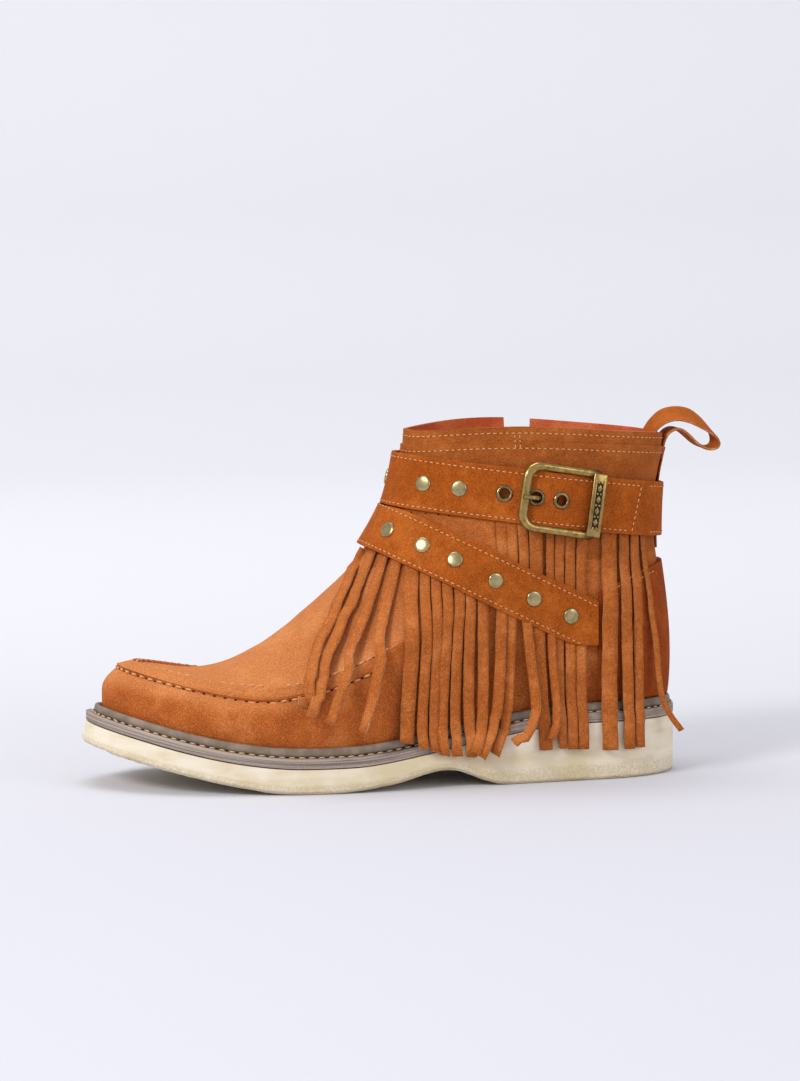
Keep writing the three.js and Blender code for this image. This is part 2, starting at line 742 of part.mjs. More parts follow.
const innerStrands = [
  { root: 0.5, tip: 0.47, low: 0.19, wide: 1.0, high: 0 },
  { root: 0.525, tip: 0.497, low: 0.17, wide: 1.1, high: 0 },
  { root: 0.55, tip: 0.524, low: 0.155, wide: 1.0, high: 0 },
  { root: 0.575, tip: 0.551, low: 0.14, wide: 1.0, high: 0 },
  { root: 0.6, tip: 0.58, low: 0.125, wide: 1.1, high: 0 },
  { root: 0.625, tip: 0.608, low: 0.115, wide: 1.0, high: 0 },
  { root: 0.65, tip: 0.636, low: 0.12, wide: 1.0, high: 0 },
  { root: 0.675, tip: 0.664, low: 0.11, wide: 1.1, high: 0 },
  { root: 0.7, tip: 0.693, low: 0.115, wide: 1.0, high: 0 },
];
const innerHeelStrands = [
  { root: 0.84, tip: 0.841, low: 0.112, wide: 1.1, high: 1 },
  { root: 0.869, tip: 0.871, low: 0.108, wide: 1.0, high: 1 },
  { root: 0.897, tip: 0.9, low: 0.112, wide: 1.0, high: 1 },
  { root: 0.923, tip: 0.928, low: 0.107, wide: 1.0, high: 1 },
];

// One strand: it leaves its root, follows the upper, and hangs past the sole's edge. lift gives how
// far it lies off the upper at a height; where the upper bulges between two of its sections, both
// move out.
function strand(row, side, lift) {
  const line = row.high ? ankleLine : instepLine;
  const root = xAt(row.root);
  const top = lineAt(line, root) - rises(line) + strandOverlap;
  const height = (t) => THREE.MathUtils.lerp(top, row.low * shaftHeight, t);
  const stops = row.root > ridgeShare ? 2 * strandSteps : 2;
  const path = Array.from({ length: stops + 1 }, (_, i) => {
    const t = i / stops;
    return { at: t, q: placeOf(THREE.MathUtils.lerp(root, xAt(row.tip), t), height(t), side).q };
  });
  const surfaceAt = (t) => {
    const q = sample(path, 'q', t);
    const level = levelAt(q, height(t), side);
    const normal = drapedNormal(level, q, side);
    const seam = Math.max(relief(level, q), 0);
    return { normal, point: draped(level, q, side, 0).addScaledVector(normal, seam) };
  };
  const knots = Array.from({ length: strandSteps + 1 }, (_, i) => ({
    ...surfaceAt(i / strandSteps), out: lift(height(i / strandSteps)), swell: 0,
  }));
  for (let i = 0; i < strandSteps; i += 1) {
    const bulge = Math.max(0, ...[0.2, 0.4, 0.6, 0.8].map((part) => {
      const { normal, point } = surfaceAt((i + part) / strandSteps);
      return point.sub(knots[i].point.clone().lerp(knots[i + 1].point, part)).dot(normal);
    }));
    [knots[i], knots[i + 1]].forEach((knot) => Object.assign(knot, { swell: Math.max(knot.swell, bulge) }));
  }
  const centres = knots
    .map(({ point, normal, out, swell }) => point.clone().addScaledVector(normal, out + swell));
  return beam(knots.map(({ normal }, i) => {
    const next = centres[Math.min(i + 1, strandSteps)];
    const last = centres[Math.max(i - 1, 0)];
    const across = normal.clone().cross(next.clone().sub(last)).normalize()
      .multiplyScalar((row.wide * strandWidth) / 2);
    return [[1, 0], [-1, 0], [-1, fringeThickness], [1, fringeThickness]].map(([turn, out]) => centres[i]
      .clone().addScaledVector(across, turn).addScaledVector(normal, out));
  }));
}

// Uncut header that the strands are fused to, from a line up to the ankle strap. Shares before the
// boot's front begin at its middle.
function header({ side, from, to, line, below, tuck }) {
  const low = line.height - rises(line) - below;
  const high = ankleLine.height - rises(ankleLine) + tuck;
  const rows = [0, 0.2, 0.4, 0.6, 0.8, 1].map((t) => {
    const path = { height: THREE.MathUtils.lerp(low, high, t),
      slope: THREE.MathUtils.lerp(line.slope, ankleLine.slope, t) };
    const ends = [from, to].map((share) => placeOf(xAt(share), lineAt(path, xAt(share)), side).q);
    return { path, ends: ends.map((q) => (side > 0 ? Math.max(q, headerStart) : q)) };
  });
  const count = Math.ceil((to - from) * headerColumns);
  return beam(Array.from({ length: count + 1 }, (_, i) => {
    const column = rows.map(({ path, ends }) => {
      const q = THREE.MathUtils.lerp(ends[0], ends[1], i / count);
      return { q, level: levelOn(path, q, side, 0) };
    });
    const rim = (out) => column.map(({ level, q }) => offLast(level, q, side, out));
    return [...rim(fringeGap + fringeThickness), ...rim(fringeGap + clearance).reverse()];
  }));
}

const layFlat = () => fringeGap;
const overCounter = (z) => THREE.MathUtils.lerp(counterThickness + 3 * clearance, clearance,
  smooth(seat(0) + counterTop - 2, seat(0) + counterTop + 10, z));

// below is how far a header reaches under its line, tuck how far it goes under the ankle strap.
const headers = {
  fore: { side: -1, from: 0.45, to: 0.664, line: instepLine, below: 1, tuck: fringeTuck },
  aft: { side: -1, from: 0.66, to: 0.83, line: ankleLine, below: 2, tuck: fringeTuck },
  inner: { side: 1, from: 0.47, to: 0.715, line: instepLine, below: 1, tuck: fringeTuck },
  heelOuter: { side: -1, ...heelGroups.outer, line: ankleLine, below: 3, tuck: -clearance },
  heelInner: { side: 1, ...heelGroups.inner, line: ankleLine, below: 3, tuck: -clearance },
};

function outerFringe() {
  return fuse(
    header(headers.fore),
    header(headers.aft),
    ...outerStrands.map((row) => strand(row, -1, layFlat)),
  );
}

function heelFringe(band, rows) {
  return fuse(
    header(band),
    ...rows.map((row) => strand(row, band.side, overCounter)),
  );
}

function innerFringe() {
  return fuse(
    header(headers.inner),
    ...innerStrands.map((row) => strand(row, 1, layFlat)),
  );
}

// Hardware. A lathe profile is a list of [radius, height].
const turned = (profile, segments) => new THREE.LatheGeometry(
  profile.map(([r, h]) => new THREE.Vector2(r, h)), segments).rotateX(Math.PI / 2);

function stud(frame) {
  const profile = [[0, 0], [1, 0], [0.96, 0.4], [0.62, 0.85], [0, 1]];
  return turned(profile.map(([r, h]) => [r * studRadius, h * studHeight + trimGap]), 11)
    .applyMatrix4(frame);
}

function eyelet(frame) {
  const rim = trimGap + eyeletRim;
  const barrel = eyeletBore + eyeletWall;
  return turned([[eyeletBore, -strapThickness], [barrel, -strapThickness], [barrel, trimGap],
    [eyeletRadius, trimGap], [0.85 * eyeletRadius, rim], [eyeletBore, rim],
    [eyeletBore, -strapThickness]], 14).applyMatrix4(frame);
}

function studFrames(line, bed, shares, side) {
  return shares.map((share) => normalFrame(xAt(share), lineAt(line, xAt(share)), side,
    bed + strapThickness));
}

function buckleFrame() {
  const [x, y] = [buckleLength / 2, buckleHeight / 2];
  const outline = new THREE.Shape();
  outline.moveTo(buckleCorner - x, -y);
  outline.lineTo(x, -y);
  outline.lineTo(x, y);
  outline.lineTo(buckleCorner - x, y);
  outline.quadraticCurveTo(-x, y, -x, y - buckleCorner);
  outline.lineTo(-x, buckleCorner - y);
  outline.quadraticCurveTo(-x, -y, buckleCorner - x, -y);
  const inside = new THREE.Path();
  const [left, right, rail] = [buckleFront - x, x - buckleBack, ankleStrapWidth / 2 + 2 * clearance];
  inside.moveTo(left + openingCorner, -rail);
  inside.quadraticCurveTo(left, -rail, left, openingCorner - rail);
  inside.lineTo(left, rail - openingCorner);
  inside.quadraticCurveTo(left, rail, left + openingCorner, rail);
  inside.lineTo(right, rail);
  inside.lineTo(right, -rail);
  inside.closePath();
  outline.holes.push(inside);
  const ring = new THREE.ExtrudeGeometry(outline, {
    depth: buckleThickness - 2 * buckleBevel, bevelThickness: buckleBevel, bevelSize: buckleBevel,
    bevelOffset: -buckleBevel, bevelSegments: 1, curveSegments: 4,
  }).translate(0, 0, bucklePlane + buckleBevel);
  const bar = new THREE.CylinderGeometry(barRadius, barRadius, 2 * rail + lugWidth, 8)
    .translate(barAt - buckleAt, 0, barHeight);
  const [lugFoot, lugTop] = [barHeight - barRadius, bucklePlane + buckleThickness / 2];
  const lug = (end) => new THREE.BoxGeometry(lugLength, lugWidth, lugTop - lugFoot)
    .translate(barAt - buckleAt, end * (rail + 2 * lugWidth / 3), (lugTop + lugFoot) / 2);
  return fuse(ring, bar, lug(1), lug(-1));
}

function bucklePlate() {
  const shape = new THREE.Shape();
  const [x, y] = [plateWidth / 2, ankleStrapWidth / 2];
  const corner = plateCorner;
  [[x - corner, -y], [x, corner - y], [x, y - corner], [x - corner, y], [corner - x, y],
    [-x, y - corner], [-x, corner - y], [corner - x, -y]]
    .forEach(([a, b], i) => (i === 0 ? shape.moveTo(a, b) : shape.lineTo(a, b)));
  return new THREE.ExtrudeGeometry(shape, { depth: plateThickness, bevelEnabled: true,
    bevelThickness: plateBevel, bevelSize: plateBevel, bevelOffset: -plateBevel, bevelSegments: 1 })
    .translate(buckleLength / 2 - x + plateBevel, 0, bucklePlane + buckleThickness + plateBevel + clearance);
}

function tube(points, radius, sides, steps) {
  const circle = new THREE.Shape(Array.from({ length: sides }, (_, i) => new THREE.Vector2(
    radius * Math.cos((2 * Math.PI * i) / sides), radius * Math.sin((2 * Math.PI * i) / sides))));
  const path = new THREE.CatmullRomCurve3(points.map((p) => new THREE.Vector3(...p)));
  return new THREE.ExtrudeGeometry(circle, { steps, bevelEnabled: false, extrudePath: path });
}

// The prong's eye turns on the centre bar; the prong comes up through the middle eyelet and its tip
// rests on the frame's front bar. Its line is given by distances from the bar, from the eyelet at the
// bar's height, from the eyelet at the frame's face and from the frame's front.
const prongLine = [
  { from: 'bar', along: -1.5, up: 0 },
  { from: 'bar', along: -4, up: -0.8 },
  { from: 'hole', along: 1.2, up: -0.9 },
  { from: 'hole', along: 0.5, up: 0.7 },
  { from: 'face', along: -0.2, up: -1.9 },
  { from: 'face', along: -1.3, up: -0.2 },
  { from: 'face', along: -3.2, up: 0.3 },
  { from: 'face', along: -6, up: 0.2 },
  { from: 'front', along: 0.6, up: 0 },
];

function buckleProng() {
  const bar = barAt - buckleAt;
  const hole = holeAt - buckleAt;
  const top = bucklePlane + buckleThickness + prongRadius + clearance;
  const bases = { bar: [bar, barHeight], hole: [hole, barHeight], face: [hole, top],
    front: [-buckleLength / 2, top] };
  const wire = tube(prongLine.map((point) => [
    bases[point.from][0] + point.along, 0, bases[point.from][1] + point.up]), prongRadius, 8, 18);
  const bore = barRadius + clearance;
  const half = eyeWidth / 2;
  const eye = turned([[bore, -half], [eyeRadius, -half], [eyeRadius, half], [bore, half], [bore, -half]], 12)
    .rotateX(Math.PI / 2).translate(bar, 0, barHeight);
  return fuse(eye, wire);
}

// Zip on the inner side: it fills the slot in the upper, which runs down from the collar.
const zipSide = (edge) => upright(zipAt - zipSlot / 2 + edge, zipAt + zipSlot / 2 - edge,
  zipFoot + edge, beyond, 0, beyond);

const innerPanel = (levels, inner, thickness) => overlay(levels, places(0.4, 0.8, 14)
  .map(({ q }) => ({ q, side: 1 })), inner, thickness);

const zipLevels = [1.2, 2, 3, 4, 5, 6, 7, 8, 9, 10, 11, 12, 12.9, 13.9];

function zipTape() {
  return keep(innerPanel(zipLevels, -wall + clearance, zipTapeThickness), zipSide(clearance));
}

function zipChain() {
  const narrow = (zipSlot - zipChainWidth) / 2;
  return keep(innerPanel(zipLevels, -wall + 2 * clearance + zipTapeThickness, zipChainThickness),
    zipSide(narrow));
}

// The slider stands near the collar; its origin lies on the upper's surface at its middle.
function sliderFrame() {
  const collarQ = bisect(0.001, 0.999, (q) => lastPoint(rings.length - 1, q, 1).x < zipAt);
  const height = lastPoint(rings.length - 1, collarQ, 1).z - sliderDrop - sliderLength / 2;
  return new THREE.Vector3(zipAt, onDrape(zipAt, height, 1, 0).y, height);
}

const sliderSeat = sliderFrame();
const sliderFace = sliderGap + sliderThickness;
const legMiddle = sliderFace - legSink + legHeight / 2;

function zipSlider() {
  const box = (width, depth, length, out, up) => new THREE.BoxGeometry(width, depth, length)
    .translate(0, out, up);
  const leg = (end) => box(bridgeWidth, legHeight, legLength, legMiddle,
    end * (bridgeLength - legLength) / 2);
  return fuse(
    box(sliderWidth, sliderThickness, sliderLength, sliderFace - sliderThickness / 2, 0),
    leg(1),
    leg(-1),
    box(bridgeWidth, bridgeThickness, bridgeLength, legMiddle + legHeight / 2, 0),
  ).translate(sliderSeat.x, sliderSeat.y, sliderSeat.z);
}

// The pull hangs from a crossbar under the slider's bridge and swings out about that crossbar.
function zipPull() {
  const half = pullWidth / 2;
  const shoulder = 4 - pullLength;
  const outline = new THREE.Shape();
  outline.moveTo(-half, pullHead);
  outline.lineTo(-half, shoulder);
  outline.quadraticCurveTo(-half, -pullLength, 0, -pullLength);
  outline.quadraticCurveTo(half, -pullLength, half, shoulder);
  outline.lineTo(half, pullHead);
  outline.closePath();
  const window = new THREE.Path();
  const [side, top, bottom] = [windowWidth / 2, -0.6, -0.6 - windowLength];
  window.moveTo(-side, top);
  window.lineTo(side, top);
  window.lineTo(side, bottom);
  window.lineTo(-side, bottom);
  window.closePath();
  outline.holes.push(window);
  return new THREE.ExtrudeGeometry(outline, { depth: pullThickness, bevelEnabled: false,
    curveSegments: 4 }).rotateX(Math.PI / 2)
    .translate(sliderSeat.x, sliderSeat.y + legMiddle + pullThickness / 2, sliderSeat.z + pullRise);
}

// Line of the pull loop beyond the collar's back edge: out as a share of its reach, up as a share of
// its rise. The strip begins inside the collar and ends on its outside.
const loopLine = [
  { out: -0.204, up: 0.25 },
  { out: -0.044, up: 0.61 },
  { out: 0.248, up: 0.89 },
  { out: 0.531, up: 1 },
  { out: 0.819, up: 0.63 },
  { out: 1, up: -0.046 },
  { out: 0.991, up: -0.407 },
  { out: 0.854, up: -0.611 },
  { out: 0.642, up: -0.426 },
  { out: 0.469, up: -0.056 },
  { out: 0.301, up: 0.102 },
  { out: 0.15, up: 0.037 },
];

function pullLoop() {
  const back = lastPoint(rings.length - 1, 1, 1);
  const inside = -wall - loopThickness / 2;
  const outside = loopThickness / 2;
  const line = [
    [inside - loopLean, -loopTuck],
    [inside - 0.9 * loopLean, -0.214 * loopTuck],
    ...loopLine.map(({ out, up }) => [out * loopReach, up * loopRise]),
    [outside + 0.8, -0.286 * loopTuck],
    [outside + 0.4, -0.6 * loopTuck],
  ];
  const curve = new THREE.CatmullRomCurve3(line.map(([x, z]) => new THREE.Vector3(x, z, 0)));
  const steps = 30;
  const sides = [1, -1].map((turn) => Array.from({ length: steps + 1 }, (_, i) => {
    const point = curve.getPointAt(i / steps);
    const run = curve.getTangentAt(i / steps);
    return [back.x + point.x - (turn * run.y * loopThickness) / 2,
      back.z + point.y + (turn * run.x * loopThickness) / 2];
  }));
  return prism([...sides[0], ...sides[1].reverse()], -loopWidth / 2, loopWidth / 2);
}

const looks = {
  suede: { color: 0xb5763f, roughness: 0.95 },
  strap: { color: 0xb0602c, roughness: 0.9 },
  fringe: { color: 0xba8452, roughness: 0.95 },
  sole: { color: 0xe3d7c0, roughness: 0.7 },
  midsole: { color: 0x8d8379, roughness: 0.85 },
  lining: { color: 0xb5502a, roughness: 0.8 },
  brass: { color: 0x8a7a55, roughness: 0.4, metalness: 0.9 },
  zip: { color: 0x6d5a48, roughness: 0.8 },
};

const boot = new THREE.Group();

function add(name, geometry, look) {
  const mesh = new THREE.Mesh(geometry, new THREE.MeshStandardMaterial(looks[look]));
  mesh.name = name;
  boot.add(mesh);
  return mesh;
}

add('outsole', outsole(), 'sole');
add('midsole', midsole(), 'midsole');
add('welt', welt(), 'midsole');
add('insole', insole(), 'lining');
add('upper', cut(upperShell(), zipSide(0)), 'suede');
add('heel_counter', heelCounter(), 'suede');
add('back_strip', backStrip(), 'suede');
add('ankle_strap_tail', ankleStrapTail(), 'strap');
add('ankle_strap_back', ankleStrapBack(), 'strap');
add('instep_strap', instepStrap(), 'strap');
add('fringe_outer', outerFringe(), 'fringe');
add('fringe_outer_heel', heelFringe(headers.heelOuter, heelStrands), 'fringe');
add('fringe_inner', innerFringe(), 'fringe');
add('fringe_inner_heel', heelFringe(headers.heelInner, innerHeelStrands), 'fringe');

add('buckle_frame', buckleFrame().applyMatrix4(buckleSeat), 'brass');
add('buckle_plate', bucklePlate().applyMatrix4(buckleSeat), 'brass');
add('buckle_prong', buckleProng().applyMatrix4(buckleSeat), 'brass');
eyeletPlaces().forEach((frame, i) => add(`eyelet_${i + 1}`, eyelet(frame), 'brass'));

studFrames(ankleLine, strapBed, [0.557, 0.61], -1)
  .forEach((frame, i) => add(`stud_ankle_outer_${i + 1}`, stud(frame), 'brass'));
studFrames(ankleLine, strapBed, [0.521, 0.58, 0.64], 1)
  .forEach((frame, i) => add(`stud_ankle_inner_${i + 1}`, stud(frame), 'brass'));
studFrames(instepLine, overFringe, [0.502, 0.547, 0.595, 0.656, 0.727, 0.796], -1)
  .forEach((frame, i) => add(`stud_instep_outer_${i + 1}`, stud(frame), 'brass'));
studFrames(instepLine, overFringe, [0.517, 0.567, 0.62, 0.68], 1)
  .forEach((frame, i) => add(`stud_instep_inner_${i + 1}`, stud(frame), 'brass'));

add('pull_loop', pullLoop(), 'strap');
add('zip_tape', zipTape(), 'zip');
add('zip_chain', zipChain(), 'brass');
add('zip_slider', zipSlider(), 'brass');
add('zip_pull', zipPull(), 'brass');

export default boot;
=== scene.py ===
import math
import random

import bmesh
import bpy
import numpy as np
from mathutils import Matrix, Vector
from mathutils.bvhtree import BVHTree


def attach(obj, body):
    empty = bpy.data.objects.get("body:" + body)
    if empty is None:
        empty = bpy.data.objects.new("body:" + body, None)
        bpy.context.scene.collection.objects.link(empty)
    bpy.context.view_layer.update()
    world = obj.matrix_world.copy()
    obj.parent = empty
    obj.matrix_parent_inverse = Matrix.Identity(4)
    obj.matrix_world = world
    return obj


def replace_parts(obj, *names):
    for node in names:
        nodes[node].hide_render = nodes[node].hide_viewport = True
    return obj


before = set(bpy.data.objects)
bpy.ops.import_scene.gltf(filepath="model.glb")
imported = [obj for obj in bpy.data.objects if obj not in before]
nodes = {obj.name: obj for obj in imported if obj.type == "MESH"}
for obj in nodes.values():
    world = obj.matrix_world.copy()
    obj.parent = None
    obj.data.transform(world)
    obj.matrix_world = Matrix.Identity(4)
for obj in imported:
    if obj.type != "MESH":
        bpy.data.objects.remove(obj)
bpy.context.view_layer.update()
mm = 0.001
dice = random.Random(11)


def lookAt(made, place, target):
    made.location = place
    made.rotation_euler = (Vector(target) - Vector(place)).to_track_quat("-Z", "Y").to_euler()


view = {"place": (-0.5319, -1.94874, 0.3), "target": (-0.082, 0, 0.1066), "lens": 148.66, "sensor": 36}

cameraData = bpy.data.cameras.new("camera")
cameraData.lens = view["lens"]
cameraData.sensor_fit = "VERTICAL"
cameraData.sensor_height = view["sensor"]
cameraData.clip_start = 0.05
camera = bpy.data.objects.new("camera", cameraData)
bpy.context.scene.collection.objects.link(camera)
lookAt(camera, view["place"], view["target"])
bpy.context.scene.camera = camera


# Studio: pale lavender sweep, soft light from the left and from above.
studio = {
    # The floor colour is darker than the wall colour: painted shade that evens out the stronger light on
    # the floor.
    "floor": (213, 213, 219), "wall": (252, 252, 254), "sky": (0.87, 0.875, 0.935), "skyStrength": 0.72,
    "lights": [
        {"name": "key", "place": (-1.7, -1.3, 1.4), "aim": (-0.09, 0, 0.07), "size": 0.7, "power": 27},
        {"name": "fill", "place": (1.4, -1.6, 0.9), "aim": (-0.05, 0, 0.08), "size": 1.2, "power": 7},
        {"name": "top", "place": (-0.3, 0.3, 1.8), "aim": (-0.09, 0, 0.05), "size": 1.2, "power": 11},
    ],
}


def linear(r, g, b):
    return tuple(((v / 255 + 0.055) / 1.055) ** 2.4 if v > 10 else v / 255 / 12.92 for v in (r, g, b))


# A socket in a material's nodes. Sums and products of sockets add Math nodes.
class Field:
    def __init__(self, tree, socket=None):
        self.tree = tree
        self.socket = socket

    def node(self, kind, settings=None, inputs=None, out=0):
        made = self.tree.nodes.new("ShaderNode" + kind)
        for key, value in (settings or {}).items():
            setattr(made, key, value)
        for key, value in (inputs or {}).items():
            socket = made.inputs[key]
            if isinstance(value, Field):
                self.tree.links.new(value.socket, socket)
            elif isinstance(value, tuple) and len(value) < len(socket.default_value):
                socket.default_value = (*value, 1)
            else:
                socket.default_value = value
        return Field(self.tree, made.outputs[out] if made.outputs else None)

    def math(self, operation, *values):
        return self.node("Math", {"operation": operation}, dict(enumerate(values)))

    def __add__(self, other):
        return self.math("ADD", self, other)

    def __sub__(self, other):
        return self.math("SUBTRACT", self, other)

    def __rsub__(self, other):
        return self.math("SUBTRACT", other, self)

    def __mul__(self, other):
        return self.math("MULTIPLY", self, other)

    __radd__ = __add__
    __rmul__ = __mul__

    def between(self, low, high):
        return self.node("MapRange", {"interpolation_type": "SMOOTHSTEP"},
                         {"Value": self, "From Min": low, "From Max": high})

    def mix(self, first, second):
        return self.node("Mix", {"data_type": "RGBA"}, {0: self, 6: first, 7: second}, 2)

    def place(self, scale=(1, 1, 1)):
        spot = self.node("TexCoord", out="Object")
        return self.node("Mapping", None, {"Vector": spot, "Scale": scale})

    def noise(self, size, detail=3.0, vector=None, rough=0.55):
        return self.node("TexNoise", None, {"Vector": vector or self.place(), "Scale": 1 / (size * mm),
                                            "Detail": detail, "Roughness": rough})

    def bump(self, height, depth, strength=1.0, under=None):
        inputs = {"Height": height, "Distance": depth * mm, "Strength": strength}
        if under:
            inputs["Normal"] = under
        return self.node("Bump", None, inputs)


def material(name, make):
    made = bpy.data.materials.new(name)
    made.use_nodes = True
    tree = made.node_tree
    tree.nodes.clear()
    inputs = make(Field(tree))
    shader = Field(tree).node("BsdfPrincipled", None, inputs)
    Field(tree).node("OutputMaterial", None, {"Surface": shader})
    return made


# Suede: a soft nap with blotches, a fine speckle, and painted top light: faces that point up are mixed
# towards the pale colour.
def suedeOf(deep, mid, pale, blotch, lift, paintedTopLight):
    def make(f):
        broad = f.noise(blotch, 3)
        patch = f.noise(blotch / 4, 4, rough=0.6)
        grain = f.noise(0.55, 2)
        fibre = f.noise(0.2, 2)
        # Painted top light: a mask of how far each face points up.
        topLightMask = f.node("SeparateXYZ", None, {0: f.node("NewGeometry", out="Normal")}, 2).between(0.1, 0.95)
        tone = (broad * 0.55 + patch * 0.45).between(0.36, 0.66)
        base = tone.mix(deep, mid)
        # The pale colour is mixed in by the painted top light and by the random pale blotches.
        base = (topLightMask * paintedTopLight + (broad.between(0.5, 0.72) * lift)).mix(base, pale)
        speck = grain.between(0.3, 0.75)
        base = (speck * 0.3).mix(base, tuple(min(1, v * 1.25) for v in pale))
        base = ((1 - speck) * 0.42).mix(base, tuple(v * 0.5 for v in deep))
        rub = f.bump(grain * 0.6 + fibre * 0.4, 0.3, 0.9)
        soft = f.bump(patch, 0.6, 0.4, rub)
        return {"Base Color": base, "Roughness": 0.95 - speck * 0.08, "Normal": soft,
                "Sheen Weight": 0.1, "Sheen Roughness": 0.5, "Sheen Tint": pale,
                "Specular IOR Level": 0.1}
    return make


suedes = {  # deep, middle and pale colours, blotch size in mm, share of pale blotches, strength of painted top light
    "suede": ((168, 80, 25), (196, 101, 37), (222, 146, 88), 26, 0.45, 0.72),
    "shaft_suede": ((152, 76, 26), (180, 96, 38), (206, 126, 66), 22, 0.4, 0.25),
    "strap_suede": ((152, 70, 14), (178, 87, 22), (204, 116, 48), 16, 0.4, 0.25),
    "fringe_suede": ((164, 84, 31), (194, 105, 45), (218, 138, 78), 14, 0.45, 0.3),
    "cut_edge": ((160, 92, 48), (190, 120, 72), (226, 172, 124), 4, 0.6, 0.3),
    "counter_suede": ((138, 58, 14), (164, 72, 22), (186, 96, 42), 16, 0.35, 0.2),
}
suede, shaftSuede, strapSuede, fringeSuede, edgeSuede, counterSuede = (
    material(name, suedeOf(*[linear(*colour) for colour in row[:3]], *row[3:]))
    for name, row in suedes.items())


# Smooth orange lining leather with a small pebble grain.
def liningLook(f):
    cells = f.node("TexVoronoi", {"feature": "DISTANCE_TO_EDGE"}, {"Vector": f.place(), "Scale": 1100.0})
    grain = f.noise(1.6, 4)
    tone = f.noise(16, 2)
    base = tone.between(0.35, 0.65).mix(linear(206, 92, 40), linear(232, 124, 70))
    pores = cells.between(0, 0.12)
    return {"Base Color": (pores * 0.5 + 0.5).mix(linear(150, 52, 24), base),
            "Roughness": 0.5 + grain * 0.2, "Normal": f.bump(pores + grain * 0.5, 0.12, 0.8),
            "Specular IOR Level": 0.35}


# Grey strip of pressed layers. The layer attribute runs from its underside (0) to its top (1).
def layerLook(f):
    level = f.node("Attribute", {"attribute_name": "layer"}, out="Fac")
    spot = f.node("SeparateXYZ", None, {0: f.place()}, 0)
    drift = f.noise(24, 2)
    lines = f.node("CombineXYZ", None, {0: spot * 14, 1: drift * 1.2, 2: level * 9})
    streak = f.node("TexNoise", None, {"Vector": lines, "Scale": 1.0, "Detail": 5.0, "Roughness": 0.65})
    fine = f.noise(0.5, 2)
    tone = (streak * 0.8 + fine * 0.2).between(0.36, 0.62)
    return {"Base Color": tone.mix(linear(116, 104, 94), linear(181, 164, 152)),
            "Roughness": 0.78 + fine * 0.15, "Normal": f.bump(streak, 0.35, 0.7),
            "Specular IOR Level": 0.25}


def ribLook(f):
    dust = f.noise(9, 5, rough=0.6)
    fine = f.noise(0.4, 2)
    base = dust.between(0.38, 0.68).mix(linear(120, 104, 88), linear(146, 130, 114))
    return {"Base Color": base, "Roughness": 0.48 + dust * 0.2, "Normal": f.bump(fine, 0.05, 0.5),
            "Specular IOR Level": 0.4}


# Cream crepe rubber: yellower along its middle, with painted shade in a mottled band low on its sides,
# where it meets the floor.
def soleLook(f):
    level = f.node("Attribute", {"attribute_name": "layer"}, out="Fac")
    broad = f.noise(30, 4)
    crumb = f.noise(0.9, 4, rough=0.7)
    streak = f.noise(5, 4, vector=f.place((0.25, 0.25, 1)))
    tone = (broad * 0.6 + streak * 0.4).between(0.38, 0.62)
    base = tone.mix(linear(218, 201, 164), linear(237, 225, 203))
    # Painted shade: the lower part of the sides is mixed darker, mottled by the crumb noise.
    foot = (1 - level.between(0.0, 0.3)) * crumb.between(0.35, 0.6)
    base = (foot * 0.45).mix(base, linear(178, 160, 118))
    return {"Base Color": base, "Roughness": 0.66 + crumb * 0.2,
            "Normal": f.bump(crumb, 0.25, 0.45, f.bump(streak, 0.3, 0.3)),
            "Subsurface Weight": 0.05, "Subsurface Radius": (0.004, 0.003, 0.002),
            "Specular IOR Level": 0.3}


# Antique brass: polished faces over dark tarnish.
def brassOf(low, high):
    def make(f):
        cloud = f.noise(3, 5, rough=0.6)
        scratch = f.noise(0.3, 3, vector=f.place((1, 1, 0.4)))
        tarnish = f.node("Attribute", {"attribute_name": "tarnish"}, out="Fac")
        worn = (cloud * 0.75 + scratch * 0.25).between(0.22, 0.6) * (1 - tarnish)
        return {"Base Color": worn.mix(low, high), "Metallic": 1.0,
                "Roughness": 0.4 - worn * 0.16, "Normal": f.bump(scratch, 0.02, 0.4)}
    return make


# Near-black brown: painted shade in stitch holes and punched holes, and dark patina on the buckle plate's
# field.
def holeShadeAndPatinaLook(f):
    return {"Base Color": f.noise(2, 2).mix(linear(26, 17, 12), linear(52, 32, 22)), "Roughness": 0.9}


def threadLook(low, high):
    def make(f):
        twist = f.node("TexWave", {"bands_direction": "DIAGONAL"},
                       {"Vector": f.place(), "Scale": 900.0, "Distortion": 1.0})
        return {"Base Color": twist.mix(low, high), "Roughness": 0.7,
                "Normal": f.bump(twist, 0.08, 0.8), "Sheen Weight": 0.2}
    return make


def tapeLook(f):
    weave, warp = (f.node("TexWave", {"bands_direction": way},
                          {"Vector": f.place(), "Scale": scale, "Distortion": 0.4})
                   for way, scale in (("Z", 420.0), ("X", 300.0)))
    return {"Base Color": (weave * 0.6 + warp * 0.4).mix(linear(92, 62, 40), linear(138, 98, 66)),
            "Roughness": 0.85, "Normal": f.bump(weave + warp, 0.12, 0.7)}


lining = material("lining", liningLook)
layers = material("midsole_layers", layerLook)
rib = material("rib", ribLook)
rubber = material("sole_rubber", soleLook)
brass = material("antique_brass", brassOf(linear(92, 72, 38), linear(176, 148, 88)))
stud = material("stud_brass", brassOf(linear(112, 98, 66), linear(182, 166, 120)))
bronze = material("eyelet_bronze", brassOf(linear(70, 58, 40), linear(146, 128, 92)))
dark = material("hole_shade_and_patina", holeShadeAndPatinaLook)
thread = material("thread", threadLook(linear(204, 128, 66), linear(240, 182, 118)))
goldThread = material("gold_thread", threadLook(linear(186, 148, 92), linear(228, 198, 150)))
tape = material("zip_tape", tapeLook)
print("materials made")


